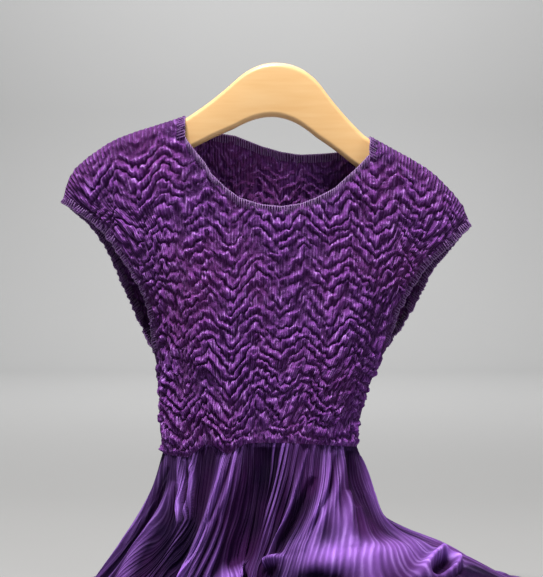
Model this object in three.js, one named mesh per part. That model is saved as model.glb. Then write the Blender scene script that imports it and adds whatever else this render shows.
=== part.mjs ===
// A crinkled dress with cap sleeves on a plain wooden hanger, its pleated skirt pooled on a level surface.
// Millimetres, +X to the viewer's right, +Y away from the viewer, +Z up; the origin is the hanger's top.
import * as THREE from 'three';

// Shared sizes
const SEAM_GAP = 0.3;
const FLOOR_Z = -600;
const HANGER_TILT_DEG = 5.6;

// Hanger: one half of its outline, as distances below its top; thickness is a share of the full one
const HANGER_THICKNESS = 13;
const HANGER_EDGE_RADIUS = 6;
const HANGER_CORNER_STEPS = 2;
const HANGER_LEAST_FLAT = 0.4;
const HANGER_HALF = [
  { along: 0, top: 0, bottom: 57, thickness: 1 },
  { along: 12, top: 1.3, bottom: 58.6, thickness: 1 },
  { along: 24, top: 5.3, bottom: 62.6, thickness: 1 },
  { along: 36, top: 12.7, bottom: 69, thickness: 1 },
  { along: 43, top: 19, bottom: 73.6, thickness: 1 },
  { along: 50, top: 26.5, bottom: 77.5, thickness: 1 },
  { along: 58, top: 35, bottom: 81.9, thickness: 1 },
  { along: 71, top: 47.7, bottom: 89.6, thickness: 1 },
  { along: 84, top: 59, bottom: 98, thickness: 1 },
  { along: 96, top: 68.3, bottom: 105, thickness: 1 },
  { along: 117, top: 77.3, bottom: 113, thickness: 1 },
  { along: 131, top: 83.3, bottom: 115.6, thickness: 1 },
  { along: 144, top: 88.7, bottom: 117.3, thickness: 1 },
  { along: 163, top: 97.9, bottom: 122.5, thickness: 1 },
  { along: 174, top: 105, bottom: 126.5, thickness: 0.95 },
  { along: 181, top: 111.5, bottom: 127, thickness: 0.8 },
  { along: 185, top: 116.5, bottom: 124, thickness: 0.45 },
];

// Waist: an ellipse whose seam rises and dips; rise is by share of the way from the left seam to the right
const WAIST_X = -23;
const WAIST_HALF_WIDTH = 102;
const WAIST_HALF_DEPTH = 38;
const WAIST_STEPS = 88;
const ARC_SAMPLES = 400;

// Bodice cloth
const BODICE_WALL = 1.5;
const BODICE_COLUMNS = 22;
const STEPS_PER_COLUMN = WAIST_STEPS / BODICE_COLUMNS;
const COLUMNS_PER_ZIGZAG = 4;
const LEFT_NECK_COLUMN = 6;
const RIGHT_NECK_COLUMN = 16;
const ROW_HEIGHT = 7.5;
const ROW_WANDER = 1.1;
const ROW_WANDER_WAVE = { column: 2.7, row: 1.3 };
const ZIGZAG_HEIGHT = 9.5;
const ZIGZAG_FADE = 30;
const RIDGE_HEIGHT = 3.2;
const RIDGE_UNEVENNESS = 0.3;
const RIDGE_WAVE = { column: 1.9, row: 2.3, both: 0.6 };
const EDGE_MARGIN = 3.5;
const SHOULDER_RADIUS = 10;
const SHOULDER_CLEARANCE = 1.3;
const SHOULDER_ROWS = [9, 4, 1.5, 0];
const SHOULDER_ROW_TAG = 1000;
const NECK_MARGIN = 0.5;
const LEFT_NECK_ALONG = 95;
const RIGHT_NECK_ALONG = 99;
const SHOULDER_ALONG = [108, 117, 131, 144, 163, 174];
const CAP_DROOP = [
  { along: 192, drop: 118.8 },
  { along: 204.4, drop: 131.8 },
  { along: 210.6, drop: 144.2 },
];
const LEFT_CAP_CORNER = { x: -230.5, z: -146 };
const RIGHT_CAP_CORNER = { x: 198.5, z: -171 };
const PATH_STEPS = 300;
const BODICE_SLOPE_STEP = 0.4;
const SHARE_STEP = 0.003;
const TOP_LEVEL = 3;
const CAP_LEVEL = 2;
const LOWEST_CUT_LEVEL = 1.2;
const CUT_HALVINGS = 30;
const SPREAD_LEVEL = 2;
const WAVE_FADE_LEVEL = 0.5;
const DEPTH_SHARE = { front: 1, back: 0.82 };

// Side seams from the waist (level 0) to the underarm (level 1), shared by both bodice panels
const SIDE_SEAM = [
  { level: 0, leftX: -125, leftZ: -412, rightX: 79, rightZ: -406, edge: 0, middle: 38, rise: 0 },
  { level: 0.33, leftX: -127, leftZ: -378, rightX: 81, rightZ: -376, edge: 0, middle: 37, rise: 0 },
  { level: 0.66, leftX: -129, leftZ: -342, rightX: 91, rightZ: -340, edge: 0, middle: 36, rise: 0 },
  { level: 1, leftX: -133, leftZ: -309, rightX: 109, rightZ: -301, edge: 0, middle: 34, rise: 0 },
];

// Beyond the cap (level 3) the columns only give directions; the shoulder line cuts them
const CAP_LEVELS = [
  { level: 2, leftX: -230.5, leftZ: -146, rightX: 198.5, rightZ: -171, edge: 9, middle: 24, rise: 0 },
  { level: 3, leftX: -276, leftZ: -112, rightX: 236, rightZ: -142, edge: 9, middle: 13, rise: 112 },
];

const FRONT = {
  side: -1,
  depthShare: DEPTH_SHARE.front,
  neckTurn: 22,
  levels: [
    ...SIDE_SEAM,
    { level: 1.25, leftX: -138, leftZ: -262, rightX: 120, rightZ: -265, edge: 8, middle: 32, rise: 0 },
    { level: 1.45, leftX: -151, leftZ: -228, rightX: 134, rightZ: -238, edge: 13, middle: 30, rise: 0 },
    { level: 1.65, leftX: -172, leftZ: -197, rightX: 153, rightZ: -211, edge: 14, middle: 28, rise: 0 },
    { level: 1.83, leftX: -195, leftZ: -169, rightX: 174, rightZ: -193, edge: 12, middle: 26, rise: 0 },
    ...CAP_LEVELS,
  ],
  neckline: [
    { x: -101, z: -79 },
    { x: -92, z: -92 },
    { x: -81, z: -105 },
    { x: -73, z: -118 },
    { x: -60, z: -131 },
    { x: -44, z: -143 },
    { x: -21, z: -150 },
    { x: 0, z: -152 },
    { x: 20, z: -149 },
    { x: 36, z: -143 },
    { x: 55, z: -133 },
    { x: 67, z: -122 },
    { x: 79, z: -111 },
    { x: 92, z: -97 },
  ],
  waistRise: [
    { share: 0, rise: 0 },
    { share: 0.12, rise: -1 },
    { share: 0.18, rise: -1 },
    { share: 0.27, rise: 12 },
    { share: 0.36, rise: 2 },
    { share: 0.44, rise: 12 },
    { share: 0.6, rise: 12 },
    { share: 0.8, rise: 7 },
    { share: 1, rise: 0 },
  ],
};

const BACK = {
  side: 1,
  depthShare: DEPTH_SHARE.back,
  neckTurn: 13,
  levels: [
    ...SIDE_SEAM,
    { level: 1.25, leftX: -152, leftZ: -268, rightX: 130, rightZ: -272, edge: 8, middle: 32, rise: 0 },
    { level: 1.45, leftX: -168, leftZ: -234, rightX: 146, rightZ: -246, edge: 13, middle: 30, rise: 0 },
    { level: 1.65, leftX: -185, leftZ: -197, rightX: 161, rightZ: -217, edge: 14, middle: 28, rise: 0 },
    { level: 1.83, leftX: -204, leftZ: -170, rightX: 178, rightZ: -197, edge: 12, middle: 26, rise: 0 },
    ...CAP_LEVELS,
  ],
  neckline: [
    { x: -101, z: -70 },
    { x: -75, z: -72 },
    { x: -49, z: -76 },
    { x: -21, z: -87 },
    { x: 0, z: -93 },
    { x: 20, z: -96 },
    { x: 41, z: -95 },
    { x: 55, z: -94 },
    { x: 75, z: -91 },
    { x: 92, z: -88 },
  ],
  waistRise: [
    { share: 0, rise: 0 },
    { share: 0.3, rise: 3 },
    { share: 0.5, rise: -1 },
    { share: 0.7, rise: 3 },
    { share: 1, rise: 0 },
  ],
};

// Skirt cloth: each row of a table is one fold of the cloth, by share of the way from the left seam.
// It leaves the waist by the fall heading and spreads by the fan heading; out and drop place its profile.
const SKIRT_WALL = 1.4;
const SKIRT_LENGTH = 400;
const SKIRT_ROWS = [
  { along: 0, pleat: 0 },
  { along: 9, pleat: 0.9 },
  { along: 26, pleat: 1.3 },
  { along: 50, pleat: 1.7 },
  { along: 80, pleat: 2 },
  { along: 114, pleat: 2.2 },
  { along: 150, pleat: 2.3 },
  { along: 190, pleat: 2.4 },
  { along: 238, pleat: 2.4 },
  { along: 292, pleat: 2.2 },
  { along: 348, pleat: 2 },
  { along: SKIRT_LENGTH, pleat: 1.8 },
];
const PROFILE_STEPS = 160;
const FAN_START = 90;
const FAN_END = 300;
const FLUTE_HEIGHT = 8;
const FLUTES_PER_PANEL = 6;
const FLUTE_START = 170;
const FLUTE_END = 330;
const PLEAT_UNEVENNESS = 0.4;
const PLEAT_WAVE = { step: 2.1, sway: 0.7 };
const SKIRT_SLOPE_STEP = 2;

const FRONT_FOLDS = [
  { share: 0, fall: -180, fan: -180, hipOut: 17, hipDrop: 60, midOut: 64, midDrop: 128, foot: 118 },
  { share: 0.1, fall: -164, fan: -163, hipOut: 17, hipDrop: 60, midOut: 64, midDrop: 128, foot: 116 },
  { share: 0.24, fall: -146, fan: -144, hipOut: 18, hipDrop: 60, midOut: 56, midDrop: 128, foot: 104 },
  { share: 0.38, fall: -136, fan: -128, hipOut: 26, hipDrop: 60, midOut: 64, midDrop: 128, foot: 104 },
  { share: 0.49, fall: -150, fan: -114, hipOut: 4, hipDrop: 60, midOut: 20, midDrop: 130, foot: 48 },
  { share: 0.62, fall: -134, fan: -104, hipOut: 16, hipDrop: 60, midOut: 46, midDrop: 126, foot: 96 },
  { share: 0.74, fall: -130, fan: -88, hipOut: 24, hipDrop: 62, midOut: 58, midDrop: 106, foot: 150 },
  { share: 0.82, fall: -114, fan: -70, hipOut: 26, hipDrop: 62, midOut: 60, midDrop: 104, foot: 172 },
  { share: 0.88, fall: -86, fan: -50, hipOut: 26, hipDrop: 62, midOut: 64, midDrop: 106, foot: 192 },
  { share: 0.94, fall: -42, fan: -26, hipOut: 28, hipDrop: 72, midOut: 88, midDrop: 116, foot: 240 },
  { share: 1, fall: 0, fan: 0, hipOut: 30, hipDrop: 79, midOut: 114, midDrop: 119, foot: 300 },
];

const BACK_FOLDS = [
  { share: 0, fall: 180, fan: 180, hipOut: 17, hipDrop: 60, midOut: 64, midDrop: 128, foot: 118 },
  { share: 0.25, fall: 150, fan: 178, hipOut: 15, hipDrop: 60, midOut: 36, midDrop: 130, foot: 66 },
  { share: 0.36, fall: 120, fan: 156, hipOut: 12, hipDrop: 60, midOut: 24, midDrop: 130, foot: 36 },
  { share: 0.5, fall: 90, fan: 90, hipOut: 12, hipDrop: 60, midOut: 26, midDrop: 130, foot: 50 },
  { share: 0.75, fall: 48, fan: 46, hipOut: 20, hipDrop: 64, midOut: 62, midDrop: 126, foot: 130 },
  { share: 0.9, fall: 18, fan: 17, hipOut: 26, hipDrop: 74, midOut: 102, midDrop: 120, foot: 248 },
  { share: 1, fall: 0, fan: 0, hipOut: 30, hipDrop: 79, midOut: 114, midDrop: 119, foot: 300 },
];

const { lerp, clamp, degToRad, smoothstep } = THREE.MathUtils;
const TILT = degToRad(HANGER_TILT_DEG);

// One column of a table at a value of its key column, read as a smooth curve through the rows
function tableAt(rows, key, column, value) {
  let low = 0;
  while (low < rows.length - 2 && value > rows[low + 1][key]) {
    low += 1;
  }
  const slopeAt = (index) => {
    const before = rows[Math.max(index - 1, 0)];
    const after = rows[Math.min(index + 1, rows.length - 1)];
    return (after[column] - before[column]) / (after[key] - before[key]);
  };
  const from = rows[low];
  const to = rows[low + 1];
  const span = to[key] - from[key];
  const t = clamp((value - from[key]) / span, 0, 1);
  const rest = 1 - t;
  const ends = rest * rest * (1 + 2 * t) * from[column] + t * t * (1 + 2 * rest) * to[column];
  return ends + span * t * rest * (rest * slopeAt(low) - t * slopeAt(low + 1));
}

// The same with straight lines between the rows, for an outline that turns sharply
function straightAt(rows, key, column, value) {
  let low = 0;
  while (low < rows.length - 2 && value > rows[low + 1][key]) {
    low += 1;
  }
  const from = rows[low];
  const to = rows[low + 1];
  const t = (value - from[key]) / (to[key] - from[key]);
  return lerp(from[column], to[column], t);
}

// A point of the hanger's own frame, seen from the front, turned by the hanger's tilt
function tilted(along, drop) {
  return {
    x: along * Math.cos(TILT) - drop * Math.sin(TILT),
    z: -along * Math.sin(TILT) - drop * Math.cos(TILT),
  };
}

// Angle on the waist's half ellipse at a share of its length, from the left seam
const WAIST_ARC = (() => {
  const rows = [{ length: 0, angle: 0 }];
  let length = 0;
  for (let step = 1; step <= ARC_SAMPLES; step += 1) {
    const angle = (Math.PI * step) / ARC_SAMPLES;
    const middle = angle - Math.PI / (2 * ARC_SAMPLES);
    const speed = Math.hypot(WAIST_HALF_WIDTH * Math.sin(middle), WAIST_HALF_DEPTH * Math.cos(middle));
    length += (speed * Math.PI) / ARC_SAMPLES;
    rows.push({ length, angle });
  }
  return rows;
})();

function waistAngle(share) {
  const whole = WAIST_ARC[WAIST_ARC.length - 1].length;
  return straightAt(WAIST_ARC, 'length', 'angle', clamp(share, 0, 1) * whole);
}

function waistZ(panel, share) {
  const across = (1 - Math.cos(waistAngle(share))) / 2;
  const [bottom] = SIDE_SEAM;
  return lerp(bottom.leftZ, bottom.rightZ, across) + tableAt(panel.waistRise, 'share', 'rise', share);
}

// Faces between two lists of vertices that run the same way, matched by their tags
function zipped(left, right, points) {
  const faces = [];
  let a = 0;
  let b = 0;
  while (a < left.length - 1 || b < right.length - 1) {
    const nextA = a < left.length - 1 ? left[a + 1].tag : Infinity;
    const nextB = b < right.length - 1 ? right[b + 1].tag : Infinity;
    if (nextA === nextB) {
      const rising = points[left[a].id].distanceTo(points[right[b + 1].id]);
      const falling = points[right[b].id].distanceTo(points[left[a + 1].id]);
      if (rising < falling) {
        faces.push([left[a].id, right[b].id, right[b + 1].id], [left[a].id, right[b + 1].id, left[a + 1].id]);
      } else {
        faces.push([left[a].id, right[b].id, left[a + 1].id], [right[b].id, right[b + 1].id, left[a + 1].id]);
      }
      a += 1;
      b += 1;
    } else if (nextA < nextB) {
      faces.push([left[a].id, right[b].id, left[a + 1].id]);
      a += 1;
    } else {
      faces.push([left[a].id, right[b].id, right[b + 1].id]);
      b += 1;
    }
  }
  return faces;
}

// A mesh from points and faces; the faces turn over where flipped is true
function solidMesh(name, points, faces, flipped, material) {
  const geometry = new THREE.BufferGeometry();
  const numbers = points.flatMap((point) => [point.x, point.y, point.z]);
  geometry.setAttribute('position', new THREE.Float32BufferAttribute(numbers, 3));
  geometry.setIndex(faces.flatMap(([a, b, c]) => (flipped ? [a, c, b] : [a, b, c])));
  geometry.computeVertexNormals();
  const mesh = new THREE.Mesh(geometry, material);
  mesh.name = name;
  return mesh;
}

// A closed wall of cloth between its inner points and its outer points, which share their faces
function clothWall(name, inner, outer, sheetFaces, flipped, material) {
  const count = inner.length;
  const edgesOf = ([a, b, c]) => [[a, b], [b, c], [c, a]];
  const edgeSet = new Set(sheetFaces.flatMap(edgesOf).map(([from, to]) => `${from},${to}`));
  const faces = [];
  for (const face of sheetFaces) {
    const [a, b, c] = face;
    faces.push([a + count, b + count, c + count], [c, b, a]);
    for (const [from, to] of edgesOf(face)) {
      if (!edgeSet.has(`${to},${from}`)) {
        faces.push([to + count, from + count, from], [to + count, from, to]);
      }
    }
  }
  return solidMesh(name, [...inner, ...outer], faces, flipped, material);
}

// Hanger
function hangerSection(along, row) {
  const half = (HANGER_THICKNESS * row.thickness) / 2;
  const height = (row.bottom - row.top) / 2;
  const radius = Math.min(HANGER_EDGE_RADIUS, half - HANGER_LEAST_FLAT, height - HANGER_LEAST_FLAT);
  const middle = (row.bottom + row.top) / 2;
  const section = [];
  const corners = [[1, 1, 0], [-1, 1, 90], [-1, -1, 180], [1, -1, 270]];
  for (const [sideY, sideZ, start] of corners) {
    for (let step = 0; step <= HANGER_CORNER_STEPS; step += 1) {
      const angle = degToRad(start + (90 * step) / HANGER_CORNER_STEPS);
      const y = sideY * (half - radius) + radius * Math.cos(angle);
      const up = sideZ * (height - radius) + radius * Math.sin(angle);
      const place = tilted(along, middle - up);
      section.push(new THREE.Vector3(place.x, y, place.z));
    }
  }
  return section;
}

function makeHanger(material) {
  const rightHalf = HANGER_HALF.map((row) => hangerSection(row.along, row));
  const leftHalf = HANGER_HALF.slice(1).map((row) => hangerSection(-row.along, row)).reverse();
  const sections = [...leftHalf, ...rightHalf];
  const around = sections[0].length;
  const faces = [];
  for (let station = 0; station < sections.length - 1; station += 1) {
    for (let step = 0; step < around; step += 1) {
      const next = (step + 1) % around;
      const a = station * around + step;
      const b = station * around + next;
      faces.push([a, b, b + around], [a, b + around, a + around]);
    }
  }
  const last = (sections.length - 1) * around;
  for (let step = 1; step < around - 1; step += 1) {
    faces.push([0, step + 1, step], [last, last + step, last + step + 1]);
  }
  return solidMesh('hanger', sections.flat(), faces, false, material);
}

// Bodice
function shoulderLine(sign) {
  const neckAlong = sign < 0 ? LEFT_NECK_ALONG : RIGHT_NECK_ALONG;
  const corner = sign < 0 ? LEFT_CAP_CORNER : RIGHT_CAP_CORNER;
  const onHanger = [0, neckAlong, ...SHOULDER_ALONG].map((along) => {
    const top = straightAt(HANGER_HALF, 'along', 'top', along);
    return tilted(sign * along, top - SHOULDER_CLEARANCE);
  });
  const onCap = CAP_DROOP.map((row) => tilted(sign * row.along, row.drop));
  const line = [...onHanger, ...onCap, corner];
  return line.sort((one, other) => one.x - other.x);
}

const SHOULDER_LINES = { left: shoulderLine(-1), right: shoulderLine(1) };
const LEFT_NECK = tilted(-LEFT_NECK_ALONG, straightAt(HANGER_HALF, 'along', 'top', LEFT_NECK_ALONG));
const RIGHT_NECK = tilted(RIGHT_NECK_ALONG, straightAt(HANGER_HALF, 'along', 'top', RIGHT_NECK_ALONG));

// Distance from a point to the worn part of a shoulder line, in the front view
function shoulderDistance(x, z) {
  let nearest = Infinity;
  const runs = [
    SHOULDER_LINES.left.filter((point) => point.x <= LEFT_NECK.x + NECK_MARGIN),
    SHOULDER_LINES.right.filter((point) => point.x >= RIGHT_NECK.x - NECK_MARGIN),
  ];
  for (const run of runs) {
    for (let index = 0; index < run.length - 1; index += 1) {
      const from = run[index];
      const to = run[index + 1];
      const dx = to.x - from.x;
      const dz = to.z - from.z;
      const t = clamp(((x - from.x) * dx + (z - from.z) * dz) / (dx * dx + dz * dz), 0, 1);
      nearest = Math.min(nearest, Math.hypot(x - from.x - t * dx, z - from.z - t * dz));
    }
  }
  return nearest;
}

// Where a share of the panel lies at a level, in the front view
function frontView(panel, share, level) {
  const value = (column) => tableAt(panel.levels, 'level', column, level);
  const leftX = value('leftX');
  const rightX = value('rightX');
  const leftShare = LEFT_NECK_COLUMN / BODICE_COLUMNS;
  const rightShare = RIGHT_NECK_COLUMN / BODICE_COLUMNS;
  let spreadX = lerp(LEFT_NECK.x, RIGHT_NECK.x, (share - leftShare) / (rightShare - leftShare));
  if (share < leftShare) {
    spreadX = lerp(leftX, LEFT_NECK.x, share / leftShare);
  } else if (share > rightShare) {
    spreadX = lerp(RIGHT_NECK.x, rightX, (share - rightShare) / (1 - rightShare));
  }
  const across = (1 - Math.cos(waistAngle(share))) / 2;
  const x = lerp(lerp(leftX, rightX, across), spreadX, smoothstep(level, 0, SPREAD_LEVEL));
  const sideZ = lerp(value('leftZ'), value('rightZ'), (x - leftX) / (rightX - leftX));
  const wave = tableAt(panel.waistRise, 'share', 'rise', share) * (1 - smoothstep(level, 0, WAVE_FADE_LEVEL));
  return { x, z: sideZ + wave + value('rise') * Math.sin(Math.PI * clamp(share, 0, 1)) };
}

// One pleat line of a bodice panel, from the waist to where the shoulder or the neckline cuts it
class Column {
  constructor(panel, share) {
    this.panel = panel;
    this.share = share;
    this.path = [];
    let along = 0;
    for (let step = 0; step <= PATH_STEPS; step += 1) {
      const level = (TOP_LEVEL * step) / PATH_STEPS;
      const place = frontView(panel, share, level);
      const before = this.path[step - 1] ?? place;
      along += Math.hypot(place.x - before.x, place.z - before.z);
      this.path.push({ along, level, x: place.x, z: place.z });
    }
  }

  at(along) {
    const value = (column) => straightAt(this.path, 'along', column, along);
    return { level: value('level'), x: value('x'), z: value('z') };
  }

  // The inner face of the cloth, before the seam allowance
  point(along) {
    const { level, x, z } = this.at(along);
    const edge = tableAt(this.panel.levels, 'level', 'edge', level);
    const middle = tableAt(this.panel.levels, 'level', 'middle', level);
    const belly = Math.sin(waistAngle(this.share));
    const share = lerp(1, this.panel.depthShare, smoothstep(level, 0, 1));
    const near = 1 - Math.min(shoulderDistance(x, z) / SHOULDER_RADIUS, 1);
    const depth = (edge + (middle * share - edge) * belly) * Math.sqrt(1 - near * near);
    return new THREE.Vector3(x, this.panel.side * Math.max(depth, 0), z);
  }

  // Length of the pleat line up to the shoulder line or the neckline
  cutAt(column) {
    if (column === 0 || column === BODICE_COLUMNS) {
      return straightAt(this.path, 'level', 'along', CAP_LEVEL);
    }
    let edgeLine = this.panel.neckline;
    if (column <= LEFT_NECK_COLUMN) {
      edgeLine = SHOULDER_LINES.left;
    } else if (column >= RIGHT_NECK_COLUMN) {
      edgeLine = SHOULDER_LINES.right;
    }
    const above = (place) => place.z - straightAt(edgeLine, 'x', 'z', place.x);
    const start = this.path.findIndex((place) => place.level > LOWEST_CUT_LEVEL && above(place) > 0);
    let low = this.path[start - 1].along;
    let high = this.path[start].along;
    for (let halving = 0; halving < CUT_HALVINGS; halving += 1) {
      const middle = (low + high) / 2;
      if (above(this.at(middle)) > 0) {
        high = middle;
      } else {
        low = middle;
      }
    }
    return low;
  }
}

// Outward direction of the cloth at a place on a column
function columnNormal(before, after, column, along) {
  const across = after.point(along).sub(before.point(along));
  const low = Math.max(along - BODICE_SLOPE_STEP, 0);
  const up = column.point(along + BODICE_SLOPE_STEP).sub(column.point(low));
  return across.cross(up).normalize().multiplyScalar(-column.panel.side);
}

// Heights along a column at which the cloth has a row, each with the tag that matches it to its neighbours
function columnRows(panel, index, cut) {
  const onShoulder = index <= LEFT_NECK_COLUMN || index >= RIGHT_NECK_COLUMN;
  const isNeck = index === LEFT_NECK_COLUMN || index === RIGHT_NECK_COLUMN;
  const zigzag = -Math.cos((2 * Math.PI * index) / COLUMNS_PER_ZIGZAG) * ZIGZAG_HEIGHT;
  const margin = onShoulder ? SHOULDER_ROWS[0] + EDGE_MARGIN : EDGE_MARGIN;
  const turn = cut - panel.neckTurn;
  const rows = [{ along: 0, tag: 0, ridge: 0 }];
  for (let row = 1; row * ROW_HEIGHT < cut + ZIGZAG_HEIGHT; row += 1) {
    const level = row * ROW_HEIGHT;
    const wander = ROW_WANDER * Math.sin(ROW_WANDER_WAVE.column * index + ROW_WANDER_WAVE.row * row);
    const along = level + (zigzag + wander) * smoothstep(level, 0, ZIGZAG_FADE);
    const clear = !isNeck || Math.abs(along - turn) > EDGE_MARGIN;
    if (along < cut - margin && clear) {
      const turnOf = RIDGE_WAVE.column * index + RIDGE_WAVE.row * row + RIDGE_WAVE.both * index * row;
      const uneven = 1 - RIDGE_UNEVENNESS + RIDGE_UNEVENNESS * Math.sin(turnOf);
      const edge = index === 0 || index === BODICE_COLUMNS;
      rows.push({ along, tag: row, ridge: row % 2 === 1 && !edge ? uneven : 0 });
    }
  }
  if (isNeck) {
    rows.push({ along: turn, tag: (turn - zigzag) / ROW_HEIGHT, ridge: 0, turn: true });
    rows.sort((one, other) => one.along - other.along);
  }
  if (onShoulder) {
    SHOULDER_ROWS.forEach((distance, step) => {
      rows.push({ along: cut - distance, tag: SHOULDER_ROW_TAG + step, ridge: 0 });
    });
  } else {
    rows.push({ along: cut, tag: (cut - zigzag) / ROW_HEIGHT, ridge: 0 });
  }
  return rows;
}

function makeBodicePanel(name, panel, material) {
  const inner = [];
  const outer = [];
  const push = (column, along, ridge, atWaist) => {
    const before = new Column(panel, Math.max(column.share - SHARE_STEP, 0));
    const after = new Column(panel, Math.min(column.share + SHARE_STEP, 1));
    const normal = columnNormal(before, after, column, along);
    if (atWaist) {
      normal.setZ(0).normalize();
    }
    const base = column.point(along);
    const top = base.clone().addScaledVector(normal, BODICE_WALL + RIDGE_HEIGHT * ridge);
    for (const point of [base, top]) {
      point.y = panel.side * Math.max(panel.side * point.y, SEAM_GAP / 2);
      point.z += atWaist ? SEAM_GAP / 2 : 0;
    }
    inner.push(base);
    outer.push(top);
    return inner.length - 1;
  };
  const waistIds = [];
  for (let step = 0; step <= WAIST_STEPS; step += 1) {
    waistIds.push(push(new Column(panel, step / WAIST_STEPS), 0, 0, true));
  }
  const columns = [];
  for (let index = 0; index <= BODICE_COLUMNS; index += 1) {
    const column = new Column(panel, index / BODICE_COLUMNS);
    const rows = columnRows(panel, index, column.cutAt(index));
    columns.push(rows.map((row, order) => {
      const id = order === 0 ? waistIds[index * STEPS_PER_COLUMN] : push(column, row.along, row.ridge, false);
      return { id, tag: row.tag, turn: row.turn === true };
    }));
  }
  const faces = [];
  for (let index = 0; index < BODICE_COLUMNS; index += 1) {
    const toTurn = (list) => list.slice(0, list.findIndex((vertex) => vertex.turn) + 1);
    let left = columns[index];
    let right = columns[index + 1];
    if (index === LEFT_NECK_COLUMN) {
      left = toTurn(left);
    }
    if (index + 1 === RIGHT_NECK_COLUMN) {
      right = toTurn(right);
    }
    const first = index * STEPS_PER_COLUMN;
    const middle = first + STEPS_PER_COLUMN / 2;
    for (let step = first; step < first + STEPS_PER_COLUMN; step += 1) {
      const above = step < middle ? left[1].id : right[1].id;
      faces.push([waistIds[step], waistIds[step + 1], above]);
    }
    faces.push([waistIds[middle], right[1].id, left[1].id]);
    faces.push(...zipped(left.slice(1), right.slice(1), inner));
  }
  return clothWall(name, inner, outer, faces, panel.side > 0, material);
}

// Skirt
// The run of the cloth at one share of the panel: down from the waist, then out over the floor
function skirtRun(panel, folds, share) {
  const value = (column) => tableAt(folds, 'share', column, share);
  const waist = waistZ(panel, share) - SEAM_GAP / 2;
  const fall = waist - FLOOR_Z;
  const foot = value('foot');
  const profile = new THREE.CatmullRomCurve3([
    new THREE.Vector3(0, 0, 0),
    new THREE.Vector3(value('hipOut'), 0, -value('hipDrop')),
    new THREE.Vector3(value('midOut'), 0, -value('midDrop')),
    new THREE.Vector3(foot, 0, -fall),
    new THREE.Vector3(foot + SKIRT_LENGTH, 0, -fall),
  ], false, 'centripetal');
  const whole = profile.getLength();
  const angle = waistAngle(share);
  const start = new THREE.Vector3(
    WAIST_X - WAIST_HALF_WIDTH * Math.cos(angle),
    panel.side * WAIST_HALF_DEPTH * Math.sin(angle),
    waist,
  );
  const run = [start];
  let before = profile.getPointAt(0);
  for (let step = 1; step <= PROFILE_STEPS; step += 1) {
    const along = (SKIRT_LENGTH * step) / PROFILE_STEPS;
    const place = profile.getPointAt(along / whole);
    const heading = degToRad(lerp(value('fall'), value('fan'), smoothstep(along, FAN_START, FAN_END)));
    const last = run[run.length - 1];
    const out = place.x - before.x;
    const flute = Math.sin(Math.PI * FLUTES_PER_PANEL * share) ** 2;
    const lift = FLUTE_HEIGHT * flute * smoothstep(along, FLUTE_START, FLUTE_END);
    run.push(new THREE.Vector3(
      last.x + out * Math.cos(heading),
      last.y + out * Math.sin(heading),
      Math.max(waist + place.z, FLOOR_Z + lift),
    ));
    before = place;
  }
  return run;
}

function runAt(run, along) {
  const place = clamp(along / SKIRT_LENGTH, 0, 1) * PROFILE_STEPS;
  const low = Math.min(Math.floor(place), PROFILE_STEPS - 1);
  return run[low].clone().lerp(run[low + 1], place - low);
}

function makeSkirtPanel(name, panel, folds, material) {
  const inner = [];
  const outer = [];
  for (let step = 0; step <= WAIST_STEPS; step += 1) {
    const share = step / WAIST_STEPS;
    const run = skirtRun(panel, folds, share);
    const before = skirtRun(panel, folds, Math.max(share - SHARE_STEP, 0));
    const after = skirtRun(panel, folds, Math.min(share + SHARE_STEP, 1));
    const atSeam = step === 0 || step === WAIST_STEPS;
    const wave = Math.sin(PLEAT_WAVE.step * step + Math.sin(PLEAT_WAVE.sway * step));
    const uneven = 1 - (PLEAT_UNEVENNESS * (1 + wave)) / 2;
    const ridge = step % 2 === 1 ? 2 * uneven : 0;
    for (const row of SKIRT_ROWS) {
      const across = runAt(after, row.along).sub(runAt(before, row.along));
      const down = runAt(run, row.along + SKIRT_SLOPE_STEP).sub(runAt(run, row.along - SKIRT_SLOPE_STEP));
      const normal = down.cross(across).normalize().multiplyScalar(-panel.side);
      if (row.along === 0) {
        normal.setZ(0).normalize();
      }
      const base = runAt(run, row.along).addScaledVector(normal, row.pleat * ridge);
      const top = base.clone().addScaledVector(normal, SKIRT_WALL);
      if (atSeam) {
        base.y = (panel.side * SEAM_GAP) / 2;
        top.y = (panel.side * SEAM_GAP) / 2;
      }
      inner.push(base);
      outer.push(top);
    }
  }
  const faces = [];
  const rows = SKIRT_ROWS.length;
  const fromHem = (step) => {
    const hem = (step + 1) * rows - 1;
    return SKIRT_ROWS.map((row, order) => ({ id: hem - order, tag: order }));
  };
  for (let step = 0; step < WAIST_STEPS; step += 1) {
    faces.push(...zipped(fromHem(step), fromHem(step + 1), inner));
  }
  return clothWall(name, inner, outer, faces, panel.side > 0, material);
}

// Whole object
const cloth = new THREE.MeshStandardMaterial({ name: 'purple cloth', color: 0x6a3f9c, roughness: 0.85 });
cloth.side = THREE.DoubleSide;
const wood = new THREE.MeshStandardMaterial({ name: 'pale wood', color: 0xe8bd83, roughness: 0.5 });

const dress = new THREE.Group();
dress.name = 'pleated_dress';
dress.add(makeHanger(wood));
dress.add(makeBodicePanel('bodice_front', FRONT, cloth));
dress.add(makeBodicePanel('bodice_back', BACK, cloth));
dress.add(makeSkirtPanel('skirt_front', FRONT, FRONT_FOLDS, cloth));
dress.add(makeSkirtPanel('skirt_back', BACK, BACK_FOLDS, cloth));

export default dress;
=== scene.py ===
"""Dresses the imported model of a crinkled, pleated dress on its wooden hanger and sets it in a plain studio.

Lengths are in millimetres in the tables, as they are in the part's source, and in metres in Blender.
"""

from __future__ import annotations

import enum
import logging
import math
from dataclasses import dataclass
from typing import Sequence

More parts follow.
